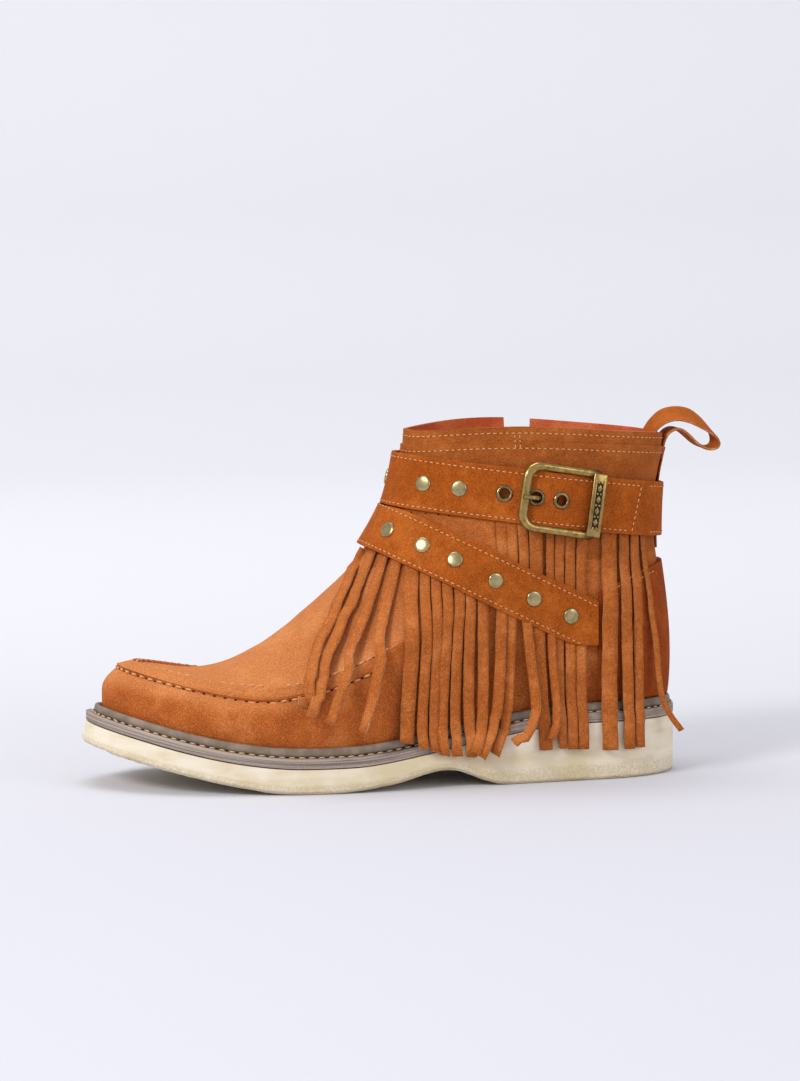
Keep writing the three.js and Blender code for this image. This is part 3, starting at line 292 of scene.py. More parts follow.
def enter(name, mesh, looks, body="root"):
    for look in looks:
        mesh.materials.append(look)
    mesh.polygons.foreach_set("use_smooth", [True] * len(mesh.polygons))
    made = bpy.data.objects.new(name, mesh)
    bpy.context.scene.collection.objects.link(made)
    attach(made, body)
    return made


def publish(name, bm, looks, body="root"):
    mesh = bpy.data.meshes.new(name)
    bm.to_mesh(mesh)
    bm.free()
    return enter(name, mesh, looks, body)


# Merged copy of CAD nodes, with its triangles joined to quads.
def cadCopy(*names):
    bm = bmesh.new()
    for name in names:
        bm.from_mesh(nodes[name].data)
    bmesh.ops.remove_doubles(bm, verts=bm.verts, dist=0.005 * mm)
    bmesh.ops.join_triangles(bm, faces=bm.faces, angle_face_threshold=math.radians(28),
                             angle_shape_threshold=math.radians(50))
    return bm


def refine(made, width, levels, limit=38, segments=2):
    if width:
        bevel = made.modifiers.new("edge", "BEVEL")
        bevel.width = width * mm
        bevel.segments = segments
        bevel.limit_method = "ANGLE"
        bevel.angle_limit = math.radians(limit)
    if levels:
        subdivision = made.modifiers.new("round", "SUBSURF")
        subdivision.levels = subdivision.render_levels = levels
    return made


def settle(made):
    bpy.context.view_layer.update()
    whole = made.evaluated_get(bpy.context.evaluated_depsgraph_get())
    mesh = bpy.data.meshes.new_from_object(whole)
    made.modifiers.clear()
    made.data = mesh
    return made


# Gives a sheet its thickness; the cut edge takes the second look.
def thicken(made, thickness):
    thick = made.modifiers.new("wall", "SOLIDIFY")
    thick.thickness = thickness * mm
    thick.offset = 0
    thick.material_offset_rim = 1


# Tree of one or more meshes, without the upper's lining.
def treeFrom(*pieces):
    bm = bmesh.new()
    for piece in pieces:
        bm.from_mesh(piece.data)
    bmesh.ops.delete(bm, geom=[face for face in bm.faces if face.material_index == 1], context="FACES")
    tree = BVHTree.FromBMesh(bm)
    bm.free()
    return tree


softPieces = {
    "insole": {"slot": "lining", "look": lining, "width": 0.4, "levels": 1},
    "welt": {"slot": "midsole", "look": rib, "width": 0, "levels": 2},
    "heel_counter": {"slot": "suede", "look": counterSuede, "width": 0.35, "levels": 2},
    "back_strip": {"slot": "suede", "look": counterSuede, "width": 0.2, "levels": 1},
    "ankle_strap_back": {"slot": "strap", "look": strapSuede, "width": 0.45, "levels": 2},
    "ankle_strap_tail": {"slot": "strap", "look": strapSuede, "width": 0.45, "levels": 2},
    "instep_strap": {"slot": "strap", "look": strapSuede, "width": 0.45, "levels": 2},
    "zip_tape": {"slot": "zip_tape", "look": tape, "width": 0, "levels": 1},
}
soft = {}
tapeTop = 150.5
for name, spec in softPieces.items():
    bm = cadCopy(name)
    if name == "zip_tape":
        for vert in bm.verts:
            vert.co.z = min(vert.co.z, tapeTop * mm)
    piece = publish(name + "_soft", bm, [spec["look"]])
    soft[name] = settle(refine(piece, spec["width"], spec["levels"]))
    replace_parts(piece, name)
print("soft copies made")


# The upper: smoothed, lined on its inside, with creases at listed places.
upperStyle = {
    "creases": [  # both ends, depth and half width, in mm
        ((-128, -34, 60), (-118, 4, 78), 0.7, 3.2),
        ((-120, -36, 66), (-110, 0, 86), 0.8, 3.5),
        ((-112, -38, 74), (-102, -8, 93), 0.6, 3),
        ((-150, -30, 48), (-140, 16, 60), 0.5, 4),
        ((-60, -33, 147), (-48, -35, 139), 0.4, 3),
        ((-34, -34, 148), (-27, -35, 140), 0.5, 2.4),
        ((-128, 36, 60), (-116, 8, 78), 0.7, 3.4),
        ((28, -18, 140), (34, -10, 128), 0.4, 3),
        ((20, 26, 128), (28, 22, 112), 0.5, 4),
    ],
    "waver": 0.4, "vampEnd": -85, "vampFoot": 36, "liningGap": 1.8, "roofTilt": 0.15,
    "spines": [  # lines through the hollow, toe to collar and waist to heel
        [(-200, 5, 42), (-150, 2, 42), (-100, 0, 55), (-60, -2, 75), (-35, 0, 105), (-25, 0, 165)],
        [(-60, -2, 60), (20, 0, 50)],
    ],
}
lowerSeam = [
    (-100.4, -43.6, 54.2), (-115.9, -43.8, 47.8), (-130.9, -42.5, 43.1), (-145.2, -39.9, 40.1),
    (-158.5, -36.5, 40.3), (-170.6, -32.8, 42.2), (-181.4, -28.2, 44.5), (-190.7, -22.5, 46.7),
    (-198.3, -16.4, 48.7), (-204.1, -10.0, 50.3), (-208.0, -3.4, 51.4), (-210.2, 6.7, 52.0),
    (-208.0, 15.9, 51.4), (-204.1, 21.9, 50.3), (-198.3, 27.7, 48.7), (-190.7, 33.0, 46.7),
    (-181.4, 37.5, 44.5), (-170.6, 40.0, 42.2), (-158.5, 41.4, 40.3), (-145.2, 42.2, 40.1),
    (-130.9, 42.1, 43.1), (-115.9, 40.8, 47.8), (-100.4, 37.8, 54.2)]
upperSeam = [
    (-96.2, -42.3, 63.1), (-111.1, -41.9, 55.6), (-125.5, -40.1, 50.3), (-139.2, -37.1, 46.4),
    (-151.9, -33.5, 45.5), (-163.6, -29.6, 46.5), (-173.9, -25.3, 48.0), (-182.8, -20.2, 49.6),
    (-190.1, -14.7, 51.1), (-195.7, -8.9, 52.3), (-199.5, -3.0, 53.1), (-201.6, 6.1, 53.3),
    (-199.5, 14.4, 53.1), (-195.7, 19.8, 52.3), (-190.1, 25.0, 51.1), (-182.8, 29.8, 49.6),
    (-173.9, 33.8, 48.0), (-163.6, 36.3, 46.5), (-151.9, 37.9, 45.5), (-139.2, 39.2, 46.4),
    (-125.5, 39.7, 50.3), (-111.1, 39.2, 55.6), (-96.2, 37.0, 63.1)]


def evenly(line, step):
    total = sum((b - a).length for a, b in zip(line, line[1:]))
    count = max(1, round(total / (step * mm)))
    out, walked, i = [line[0]], 0.0, 0
    for k in range(1, count + 1):
        target = total * k / count
        while i < len(line) - 2 and walked + (line[i + 1] - line[i]).length < target:
            walked += (line[i + 1] - line[i]).length
            i += 1
        leg = (line[i + 1] - line[i]).length or 1
        out.append(line[i].lerp(line[i + 1], min(1, (target - walked) / leg)))
    return out


# Smooth line through points, with even steps. Points are in mm, the result in metres.
def rounded(points, step):
    spots = [Vector(p) for p in points]
    fine = []
    for i in range(len(spots) - 1):
        a, b, c, d = (spots[max(i - 1, 0)], spots[i], spots[i + 1], spots[min(i + 2, len(spots) - 1)])
        for k in range(12):
            t = k / 12
            fine.append(0.5 * ((2 * b) + (c - a) * t + (2 * a - 5 * b + 4 * c - d) * t * t
                               + (3 * b - a - 3 * c + d) * t ** 3))
    fine.append(spots[-1])
    return evenly([p * mm for p in fine], step)


# Moves the vamp's lining back under its outer wall wherever smoothing brought them too close.
def keepLiningUnder(bm):
    bm.verts.index_update()
    outer = [[vert.index for vert in face.verts] for face in bm.faces if face.material_index != 1]
    tree = BVHTree.FromPolygons([vert.co.copy() for vert in bm.verts], outer)
    gap = upperStyle["liningGap"] * mm
    moves = {}
    for vert in bm.verts:
        p = vert.co
        vamp = p.x < upperStyle["vampEnd"] * mm and p.z > upperStyle["vampFoot"] * mm
        if vamp and all(face.material_index == 1 for face in vert.link_faces):
            near, normal, _, _ = tree.find_nearest(p)
            if (p - near).dot(normal) > -gap:
                moves[vert] = near + vert.normal * gap
    for vert, spot in moves.items():
        vert.co = spot


def makeUpper():
    bm = cadCopy("upper")
    bm.normal_update()
    spines = [p for spine in upperStyle["spines"] for p in rounded(spine, 4)]
    for face in bm.faces:
        middle = face.calc_center_median()
        heart = min(spines, key=lambda p: (p - middle).length)
        roof = middle.x < upperStyle["vampEnd"] * mm and face.normal.z > upperStyle["roofTilt"]
        inside = face.normal.dot(middle - heart) < 0 and not roof
        face.material_index = 1 if inside else 2 if middle.z > 0.1 else 0
    made = publish("upper_soft", bm, [suede, lining, shaftSuede])
    settle(refine(made, 0.3, 2, limit=50))
    bm = bmesh.new()
    bm.from_mesh(made.data)
    bm.normal_update()
    creases = [(Vector(a) * mm, Vector(b) * mm, deep * mm, wide * mm)
               for a, b, deep, wide in upperStyle["creases"]]
    moves = {}
    for vert in bm.verts:
        p = vert.co
        if any(face.material_index == 1 for face in vert.link_faces):
            continue
        depth = upperStyle["waver"] * mm * math.sin(p.x * 61 + p.z * 47) * math.sin(p.z * 83 - p.y * 39)
        for a, b, deep, wide in creases:
            t = max(0, min(1, (p - a).dot(b - a) / (b - a).length_squared))
            gap = (p - a.lerp(b, t)).length
            if gap < 3 * wide:
                fade = math.sin(math.pi * min(1, max(0, 0.08 + 0.84 * t)))
                ring = math.exp(-(gap / wide) ** 2) - 0.5 * math.exp(-((gap - 2 * wide) / wide) ** 2)
                depth -= deep * fade * ring
        moves[vert] = vert.normal * depth
    for vert, move in moves.items():
        vert.co += move
    keepLiningUnder(bm)
    bm.to_mesh(made.data)
    bm.free()
    made.data.polygons.foreach_set("use_smooth", [True] * len(made.data.polygons))
    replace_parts(made, "upper")
    return made


soft["upper"] = makeUpper()
print("upper made")


# Pull loop: a band that twists and folds. Its edges are in mm, x and z, near the camera and far from it.
loop = {
    "half": 7, "thickness": 1.4, "across": 6, "along": 46,
    "near": [
        (33, 146), (34.7, 153.2), (39.4, 157.6), (45, 159.2), (50.5, 158.4), (56.1, 156), (61.6, 153),
        (65.5, 149.8), (66, 147), (63.3, 145.6), (59.3, 146.2), (55.3, 148.6), (51.3, 152.6),
        (47.4, 155.2), (43.4, 154.6), (40.2, 151), (39, 146), (38.8, 142)],
    "far": [
        (31.5, 147), (33.9, 155.2), (39.4, 161.8), (44.1, 164.1), (49.7, 164.6), (55.2, 163.4), (60, 159.6),
        (63.6, 155), (65.6, 150), (64.6, 146.6), (60.5, 146.4), (56, 148.6), (51.6, 152.4),
        (47.5, 155.2), (43.5, 154.8), (40.2, 151), (39, 146), (38.8, 142)],
}


def makeLoop():
    half, across, along = loop["half"], loop["across"], loop["along"]
    near = rounded([(x, -half, z) for x, z in loop["near"]], 0.5)
    far = rounded([(x, half, z) for x, z in loop["far"]], 0.5)
    bm = bmesh.new()
    for vert in bmesh.ops.create_grid(bm, x_segments=across, y_segments=along, size=1)["verts"]:
        u, t = (vert.co.x + 1) / 2, (vert.co.y + 1) / 2
        vert.co = near[round(t * (len(near) - 1))].lerp(far[round(t * (len(far) - 1))], u)
    bmesh.ops.smooth_vert(bm, verts=[v for v in bm.verts if not v.is_boundary], factor=0.5,
                          use_axis_x=True, use_axis_y=True, use_axis_z=True)
    bmesh.ops.recalc_face_normals(bm, faces=bm.faces)
    made = publish("pull_loop_soft", bm, [strapSuede, edgeSuede])
    thicken(made, loop["thickness"])
    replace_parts(refine(made, 0, 1), "pull_loop")


makeLoop()


# Soles: a layer attribute tells the look how high in the piece a point lies.
def layered(name, node, look, width):
    bm = cadCopy(node)
    bm.normal_update()
    layer = bm.verts.layers.float.new("layer")
    for vert in bm.verts:
        vert[layer] = 1 if any(face.normal.z > 0.75 for face in vert.link_faces) else 0
    made = publish(name, bm, [look])
    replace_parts(made, node)
    return settle(refine(made, width, 2, limit=35))


# Crumbled lower edge of the sole, in mm.
def crumble(made, reach=0.3, band=0.004):
    bm = bmesh.new()
    bm.from_mesh(made.data)
    bm.normal_update()
    for vert in bm.verts:
        foot = max(0, 1 - abs(vert.co.z - treadHeight(vert.co.x)) / band)
        if foot and vert.co.z > 0.4 * mm:
            vert.co += vert.normal * dice.uniform(-1, 0.4) * reach * mm * foot
    bm.to_mesh(made.data)
    bm.free()


def treadHeight(x):
    hit = treadTree.ray_cast(Vector((x, 0, -0.05)), Vector((0, 0, 1)), 0.2)[0]
    return hit.z if hit is not None else 0.03


treadTree = treeFrom(nodes["outsole"])
soft["outsole"] = layered("outsole_soft", "outsole", rubber, 0.5)
soft["midsole"] = layered("midsole_soft", "midsole", layers, 0.35)
crumble(soft["outsole"])
trees = {name: treeFrom(piece) for name, piece in soft.items()}
print("sole made")


# Many copies of one small shape as one mesh: each item is a matrix and a material index.
def scatter(name, shape, items, looks):
    bm = bmesh.new()
    shape(bm)
    bm.verts.ensure_lookup_table()
    points = np.array([(*v.co, 1) for v in bm.verts])
    faces = [[v.index for v in f.verts] for f in bm.faces]
    bm.free()
    places = np.concatenate([points @ np.array(matrix).T[:, :3] for matrix, _ in items])
    mesh = bpy.data.meshes.new(name)
    size = len(points)
    mesh.from_pydata(places, [], [[v + i * size for v in f] for i in range(len(items)) for f in faces])
    made = enter(name, mesh, looks)
    mesh.polygons.foreach_set("material_index", np.repeat([m for _, m in items], len(faces)))
    return made


def bead(bm):
    bmesh.ops.create_uvsphere(bm, u_segments=7, v_segments=5, radius=1)


def sized(place, turn, size):
    return Matrix.Translation(place) @ turn @ Matrix.Diagonal((*[v * mm for v in size], 1))


# Stitches: small rounded threads laid along a line on a surface, with a dark bead between two as painted
# shade in the stitch hole.
def stitchRow(items, line, tree, length=2.0, gap=0.75, radius=0.26, hole=0.2, jitter=0.06, lift=0.45):
    spots = evenly(line, length + gap)
    for a, b in zip(spots, spots[1:]):
        near, normal, _, _ = tree.find_nearest(a.lerp(b, 0.5))
        run = (b - a).normalized()
        across = normal.cross(run).normalized()
        up = run.cross(across)
        turn = Matrix((run, across, up)).transposed().to_4x4()
        turn = turn @ Matrix.Rotation(dice.uniform(-jitter, jitter), 4, "Z")
        size = (length / 2 * dice.uniform(0.9, 1.06), radius, radius * 0.85)
        items.append((sized(near + up * radius * mm * lift, turn, size), 0))
        # The dark bead sunk at each hole is painted shade in the hole.
        if hole:
            spot, away, _, _ = tree.find_nearest(b)
            items.append((sized(spot - away * hole * mm * 0.4, turn, (hole * 1.5, hole * 1.1, hole)), 1))


# Lines of hits round the shaft between two angles, cut where the surface is open.
def hitLines(tree, start, end, reach, ray, step=2.5):
    lines = [[]]
    for i in range(round((end - start) / step) + 1):
        middle, out = ray(math.radians(start + i * step))
        hit = tree.ray_cast(middle + out * 0.15, -out, reach)[0]
        if hit is not None and (not lines[-1] or (hit - lines[-1][-1]).length < 0.012):
            lines[-1].append(hit)
        elif lines[-1]:
            lines.append([hit] if hit is not None else [])
    return [line for line in lines if len(line) > 3]


shaftX = -22


# Line round the shaft in a tilted plane.
def shaftLine(tree, height, slope, start, end):
    middle = Vector((shaftX * mm, 0, (height + slope * shaftX) * mm))

    def ray(angle):
        return middle, Vector((math.cos(angle), math.sin(angle), slope * math.cos(angle))).normalized()

    return hitLines(tree, start, end, 0.14, ray)


ankleLine = {"height": 124.1, "slope": -0.124, "width": 24.6, "inset": 2.1}
instepLine = {"height": 68.6, "slope": -0.485, "width": 22.6, "inset": 2.1}


def edgeHeight(line, edge, inset=None):
    reach = line["width"] / 2 - (line["inset"] if inset is None else inset)
    return line["height"] + edge * reach / math.cos(math.atan(line["slope"]))


rimFoot = 135


# Height of the collar's rim round the shaft, by angle, from the top vertices of the upper.
def rimHeights(count=48):
    best = [0.0] * count
    for vert in soft["upper"].data.vertices:
        if vert.co.z > rimFoot * mm:
            i = round(math.atan2(vert.co.y, vert.co.x - shaftX * mm) / math.tau * count) % count
            best[i] = max(best[i], vert.co.z)
    return best


rim = rimHeights()


def collarLine(drop, start, end):
    def ray(angle):
        place = angle / math.tau * len(rim)
        low = math.floor(place)
        a, b = rim[low % len(rim)], rim[(low + 1) % len(rim)]
        middle = Vector((shaftX * mm, 0, a + (b - a) * (place - low) - drop * mm))
        return middle, Vector((math.cos(angle), math.sin(angle), 0))

    return hitLines(trees["upper"], start, end, 0.13, ray)


# Face and normal at x, z in mm, seen along Y from one side.
def sideHit(x, z, side, tree):
    return tree.ray_cast(Vector((x * mm, side * 0.12, z * mm)), Vector((0, -side, 0)), 0.12)[:2]


# Line down a side of the boot through points (x, z in mm), laid on a tree along Y.
def sideLine(tree, points, side, step=3):
    line = []
    for p in rounded([(x, 0, z) for x, z in points], step):
        hit = sideHit(p.x / mm, p.z / mm, side, tree)[0]
        if hit is not None:
            line.append(hit)
    return line


stitching = {
    "straps": [  # piece, its course, first and last angle
        ("ankle_strap_tail", ankleLine, 95, 334), ("ankle_strap_back", ankleLine, 336, 450),
        ("instep_strap", instepLine, 88, 345)],
    "tip": (22.8, 17.4), "collar": (2.9, 9.6),
    "punchLift": 1.7, "punch": (0.55, 0.4, 0.15),
    "punches": [(-83.6, 121.5), (-79.8, 120.4), (-74.5, 120.2), (-69.6, 120), (-65.2, 119.5)],
}


def makeStitches():
    items = []
    tip = stitching["tip"]
    for edge in (-1, 1):
        for name, course, start, end in stitching["straps"]:
            for line in shaftLine(trees[name], edgeHeight(course, edge), course["slope"], start, end):
                if name == "ankle_strap_tail":
                    line = [p for p in line if p.y > 0 or p.x < tip[0 if edge > 0 else 1] * mm]
                stitchRow(items, line, trees[name])
    top, foot = (edgeHeight(ankleLine, edge) + ankleLine["slope"] * tip[0] for edge in (1, -1))
    slant = sideLine(trees["ankle_strap_tail"], [(tip[0], top), (tip[1], foot)], -1)
    if len(slant) > 2:
        stitchRow(items, slant, trees["ankle_strap_tail"])
    for drop in stitching["collar"]:
        for line in collarLine(drop, 95, 445):
            stitchRow(items, line, trees["upper"])
    for x in (-36.4, -34.2):
        seam = sideLine(trees["upper"], [(x, 156), (x, 149.5)], -1, 1)
        stitchRow(items, seam, trees["upper"], length=1.8)
    for x in (-30.2, -9.8):
        stitchRow(items, sideLine(trees["upper"], [(x, 154), (x, 100), (x, 52)], 1), trees["upper"])
    counter = [(4.4, 37), (4.4, 60), (4.6, 82), (12, 87), (21, 92), (29, 94.5)]
    for shift in (0, 2.2):
        for side in (-1, 1):
            line = sideLine(trees["heel_counter"], [(x + shift, z - shift) for x, z in counter], side)
            if len(line) > 3:
                stitchRow(items, line, trees["heel_counter"], jitter=0.25)
    # Punched dots: dark discs as painted shade in the punched holes.
    for x, z in stitching["punches"]:
        hit, normal = sideHit(x, z, -1, trees["upper"])
        turn = normal.to_track_quat("Z", "Y").to_matrix().to_4x4()
        items.append((sized(hit + normal * stitching["punchLift"] * mm, turn, stitching["punch"]), 1))
    scatter("stitches", bead, items, [thread, dark])


# Rolled ridge of the apron seam between its two stitched rows.
apron = {"margin": 0.5, "height": 0.4, "sink": 0.12, "step": 1.1, "pucker": 4.8}


def makeApron():
    low, high = rounded(lowerSeam, 0.5), rounded(upperSeam, 0.5)
    count = round(sum((b - a).length for a, b in zip(low, low[1:])) / mm / apron["step"])
    bm = bmesh.new()
    sections = []
    for i in range(count + 1):
        t = i / count
        a, b = low[round(t * (len(low) - 1))], high[round(t * (len(high) - 1))]
        near, normal, _, _ = trees["upper"].find_nearest(a.lerp(b, 0.5))
        across = (b - a).normalized()
        fade = min(1, 12 * t, 12 * (1 - t))
        wave = math.sin(math.tau * i * apron["step"] / apron["pucker"])
        ring = []
        for k in range(9):
            u = k / 4 - 1
            up = apron["height"] * (1 - u * u) ** 0.6 * (0.7 - 0.4 * u) * (1 + 0.16 * wave) - apron["sink"]
            out = u * ((b - a).length / mm / 2 - apron["margin"] - 0.15 * wave)
            spot = near + across * out * mm
            foot, up2, _, _ = trees["upper"].find_nearest(spot)
            ring.append(bm.verts.new(foot + up2 * (up * fade - 0.1) * mm))
        sections.append(ring)
    for a, b in zip(sections, sections[1:]):
        for k in range(8):
            bm.faces.new((a[k], a[k + 1], b[k + 1], b[k]))
    bmesh.ops.recalc_face_normals(bm, faces=bm.faces)
    publish("apron_ridge", bm, [suede])
    items = []
    stitchRow(items, low, trees["upper"], 3.3, 1.5, 0.5, 0.55, 0.12, 1.1)
    stitchRow(items, high, trees["upper"], 3.0, 1.2, 0.5, 0.42, 0.1, 2.0)
    scatter("apron_stitches", bead, items, [thread, dark])


# Irregular golden stitches in the groove where the rib meets the layered strip.
weltStitch = {"foreCentre": (-165, 2), "heelCentre": (8, 0), "out": 0.85}


def makeWeltStitches():
    def seatHeight(x):
        hit = trees["midsole"].ray_cast(Vector((x, 0, 0.1)), Vector((0, 0, -1)), 0.1)[0]
        return hit.z if hit is not None else 0.03

    def spot(x, y, dx, dy):
        out = Vector((dx, dy, 0)).normalized()
        at = Vector((x * mm, y * mm, 0))
        guess, rise = at + out * 0.045, 1.4
        for _ in range(8):
            start = Vector((at.x, at.y, seatHeight(guess.x) + rise * mm))
            hit = trees["welt"].ray_cast(start + out * 0.12, -out, 0.11)[0]
            guess, rise = (hit, rise) if hit is not None else (guess, rise + 1.2)
        return guess + out * weltStitch["out"] * mm

    fore, heel = weltStitch["foreCentre"], weltStitch["heelCentre"]
    line = [spot(x, fore[1] * (8 - x) / 173, 0, -1) for x in range(fore[0], heel[0], 4)]
    line += [spot(*heel, math.sin(a), -math.cos(a)) for a in (math.pi * i / 30 for i in range(31))]
    line += [spot(x, fore[1] * (8 - x) / 173, 0, 1) for x in range(heel[0] - 4, fore[0], -4)]
    line += [spot(*fore, -math.sin(a), math.cos(a)) for a in (math.pi * i / 36 for i in range(36))]
    line.append(line[0])
    items = []
    stitchRow(items, line, trees["midsole"], 3.1, 1.3, 0.4, 0.16, 0.22, 1.3)
    scatter("welt_stitches", bead, items, [goldThread, dark])


makeApron()
makeWeltStitches()
makeStitches()
print("stitches made")


# Fringe. Each strand has points from root to tip (x, z in mm), its width, how far it stands off
# at the tip, and its turn at the tip in degrees.
fringe = {"thickness": 1.05, "step": 3.4, "lay": 1.5, "header": 1.2, "free": 0.085, "wander": 0.5}
outerStrands = [
    ([(-98.6, 103), (-117, 73), (-128, 52), (-138.2, 38.1)], 5.0, 8.5, 14),
    ([(-95.6, 103), (-113, 71), (-125, 50), (-133.7, 34.2)], 5.0, 7, -10),
    ([(-91.8, 102), (-106, 70), (-116, 50), (-126.8, 32.4)], 4.4, 9, 34),
    ([(-87.4, 101), (-96, 75), (-104, 50), (-112.7, 27.7)], 5.0, 9.5, 62),
    ([(-82, 99), (-87, 60), (-90.1, 20.7)], 6.4, 1, 0),
    ([(-77, 97), (-81, 55), (-83.1, 18.8)], 4.6, 1.4, 12),
    ([(-72.8, 94.5), (-76, 55), (-77.4, 17.4)], 4.4, 1, -6),
    ([(-68.4, 92), (-71.5, 55), (-73.1, 15.4)], 4.7, 1, 4),
    ([(-63.6, 89.5), (-66, 55), (-66.8, 14.5)], 4.6, 1.2, 0),
    ([(-58.9, 87.5), (-60, 55), (-60.1, 13.7)], 4.8, 1, 6),
    ([(-53.5, 85), (-53.4, 50), (-54.5, 28), (-59.3, 15.7)], 4.8, 2, 34),
    ([(-43.5, 120), (-44.6, 80), (-46.6, 40), (-50, 26), (-57, 14)], 4.9, 3, 40),
    ([(-39, 120), (-40, 80), (-41.5, 45), (-43, 30), (-49.5, 14.5)], 4.7, 1.6, 26),
    ([(-34.8, 119.5), (-33.4, 80), (-30.4, 45), (-30, 32), (-33.5, 26), (-42, 20)], 4.4, 5, 38),
    ([(-29, 119), (-27, 60), (-24.6, 15)], 6.0, 0.6, 0),
    ([(-22, 118.3), (-21, 60), (-19.6, 32), (-23.5, 20.4)], 3.6, 3, 40),
    ([(-17.2, 117.3), (-17.4, 60), (-17.3, 15.5)], 4.4, 1.3, -8),
    ([(-12.3, 116.8), (-12, 60), (-11.5, 15)], 4.7, 1, 6),
    ([(-6.6, 115.8), (-6.8, 60), (-6.7, 14.7)], 4.8, 1.2, 0),
]
heelStrands = [
    ([(6.8, 113), (6.5, 60), (6.2, 13.6)], 7.2, 1, 0),
    ([(14, 112.5), (14.8, 60), (15.6, 13.5)], 5.0, 1, 5),
    ([(19.4, 112), (20.4, 60), (21.1, 13.8)], 4.6, 1, -4),
    ([(23.6, 111), (26, 85), (29.3, 62), (31.4, 37.7), (35.4, 27.5), (40, 20.5)], 2.6, 2.5, 25),
]
innerStrands = [
    ([(-90, 101), (-95, 60), (-99, 24)], 4.9, 1.4, 10),
    ([(-84.5, 99), (-89, 60), (-92, 21)], 5.2, 1, 0),
    ([(-78.5, 97), (-82, 60), (-84.5, 19)], 4.9, 1.2, -8),
    ([(-72.3, 94), (-75.5, 60), (-78, 17.5)], 4.9, 1, 5),
    ([(-66, 91), (-69, 60), (-71, 16)], 5.2, 1.3, 0),
    ([(-59.5, 88), (-61.5, 55), (-63, 14.5)], 4.9, 1, 12),
    ([(-53, 85), (-54.5, 55), (-55.5, 15)], 4.9, 1.6, -6),
    ([(-46.5, 82), (-47.5, 50), (-48.5, 14)], 5.2, 1, 0),
    ([(-40, 79), (-40.8, 50), (-41.5, 14.5)], 4.9, 1.4, 8),
]
innerHeelStrands = [
    ([(-1, 113), (-1, 60), (-1, 14)], 5.2, 1, 0),
    ([(6, 112.4), (6.3, 60), (6.6, 13.6)], 4.9, 1.2, 8),
    ([(13, 112), (13.6, 60), (14.2, 14)], 4.9, 1, -5),
    ([(20, 111), (21, 60), (21.6, 13.6)], 4.9, 1.5, 0),
    ([(26, 110), (31, 75), (40, 38), (42.5, 21)], 4.0, 2, 15),
]
ground = treeFrom(*[soft[name] for name in ("upper", "heel_counter", "welt", "midsole", "outsole")])


# Points along a strand: it rests on the boot and hangs straight down from its widest place.
def drape(path, off, side):
    flat = rounded([(x, 0, z) for x, z in path], fringe["step"])
    spots, reach = [], 0
    lastNormal = Vector((0, side, 0))
    for i, p in enumerate(flat):
        t = i / (len(flat) - 1)
        hit, normal = sideHit(p.x / mm, p.z / mm, side, ground)
        out = abs(hit.y) if hit is not None else 0
        if hit is not None and normal.y * side > 0.12:
            lastNormal = normal
        free = p.z < fringe["free"]
        reach = max(out, reach) if free else out
        lay = (fringe["lay"] + off * t * t) * mm
        face = lastNormal if reach == out else Vector((lastNormal.x * 0.5, side, 0)).normalized()
        spots.append([Vector((p.x, side * reach, p.z)) + face * lay, face])
    for _ in range(3):
        for i in range(1, len(spots) - 1):
            spots[i][0].y = (spots[i - 1][0].y + 2 * spots[i][0].y + spots[i + 1][0].y) / 4
            spots[i][1] = (spots[i - 1][1] + spots[i][1] * 2 + spots[i + 1][1]).normalized()
    return spots


def addStrand(bm, side, path, wide, off, turn):
    spots = drape(path, off, side)
    count = len(spots) - 1
    made = bmesh.ops.create_grid(bm, x_segments=3, y_segments=count, size=1)["verts"]
    phase = dice.uniform(0, 6)
    curl = dice.uniform(-0.35, 0.35)
    for vert in made:
        u = vert.co.x  # across, -1 to 1
        k = min(count, max(0, round((vert.co.y + 1) / 2 * count)))
        t = k / count
        spot, normal = spots[k]
        ahead = spots[min(k + 1, count)][0] - spots[max(k - 1, 0)][0]
        across = normal.cross(ahead).normalized()
        free = max(0, t - 0.12)
        angle = math.radians(turn) * max(0, t - 0.35) / 0.65 + 0.12 * free * math.sin(7 * t + phase)
        turned = across * math.cos(angle) + normal * math.sin(angle)
        half = wide / 2 * (1 + 0.035 * math.sin(31 * t + phase + u))
        cup = curl * free * (u * u - 0.4)
        sway = fringe["wander"] * free * math.sin(4.2 * t + phase)
        lift = abs(math.sin(angle)) * half * 0.9
        vert.co = (spot + turned * (u * half * mm) + normal * ((cup + lift) * mm)
                   + across * (sway * mm * 0.6))
        if k == count:
            vert.co += ahead.normalized() * (u * dice.uniform(-0.2, 0.5)) * mm


# Uncut top of the fringe between the two straps.
def addHeader(bm, left, right, side, low, high):
    columns, rows = 16, 8
    made = bmesh.ops.create_grid(bm, x_segments=columns, y_segments=rows, size=1)["verts"]
    for vert in made:
        x = left + (right - left) * (vert.co.x + 1) / 2
        t = (vert.co.y + 1) / 2
        z = low(x) + (high(x) - low(x)) * t
        hit, normal = sideHit(x, z, side, trees["upper"])
        vert.co = hit + normal * fringe["header"] * mm if hit is not None else Vector((x, 0, z)) * mm


def makeFringe(name, node, rows, side, header=None):
    bm = bmesh.new()
    for row in rows:
        addStrand(bm, side, *row)
    if header:
        addHeader(bm, *header)
    bmesh.ops.recalc_face_normals(bm, faces=bm.faces)
    made = publish(name, bm, [fringeSuede, edgeSuede])
    thicken(made, fringe["thickness"])
    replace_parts(made, node)


def under(x):
    return edgeHeight(ankleLine, -1, 3.5) + ankleLine["slope"] * x


def over(x):
    return edgeHeight(instepLine, 1, 4) + instepLine["slope"] * x


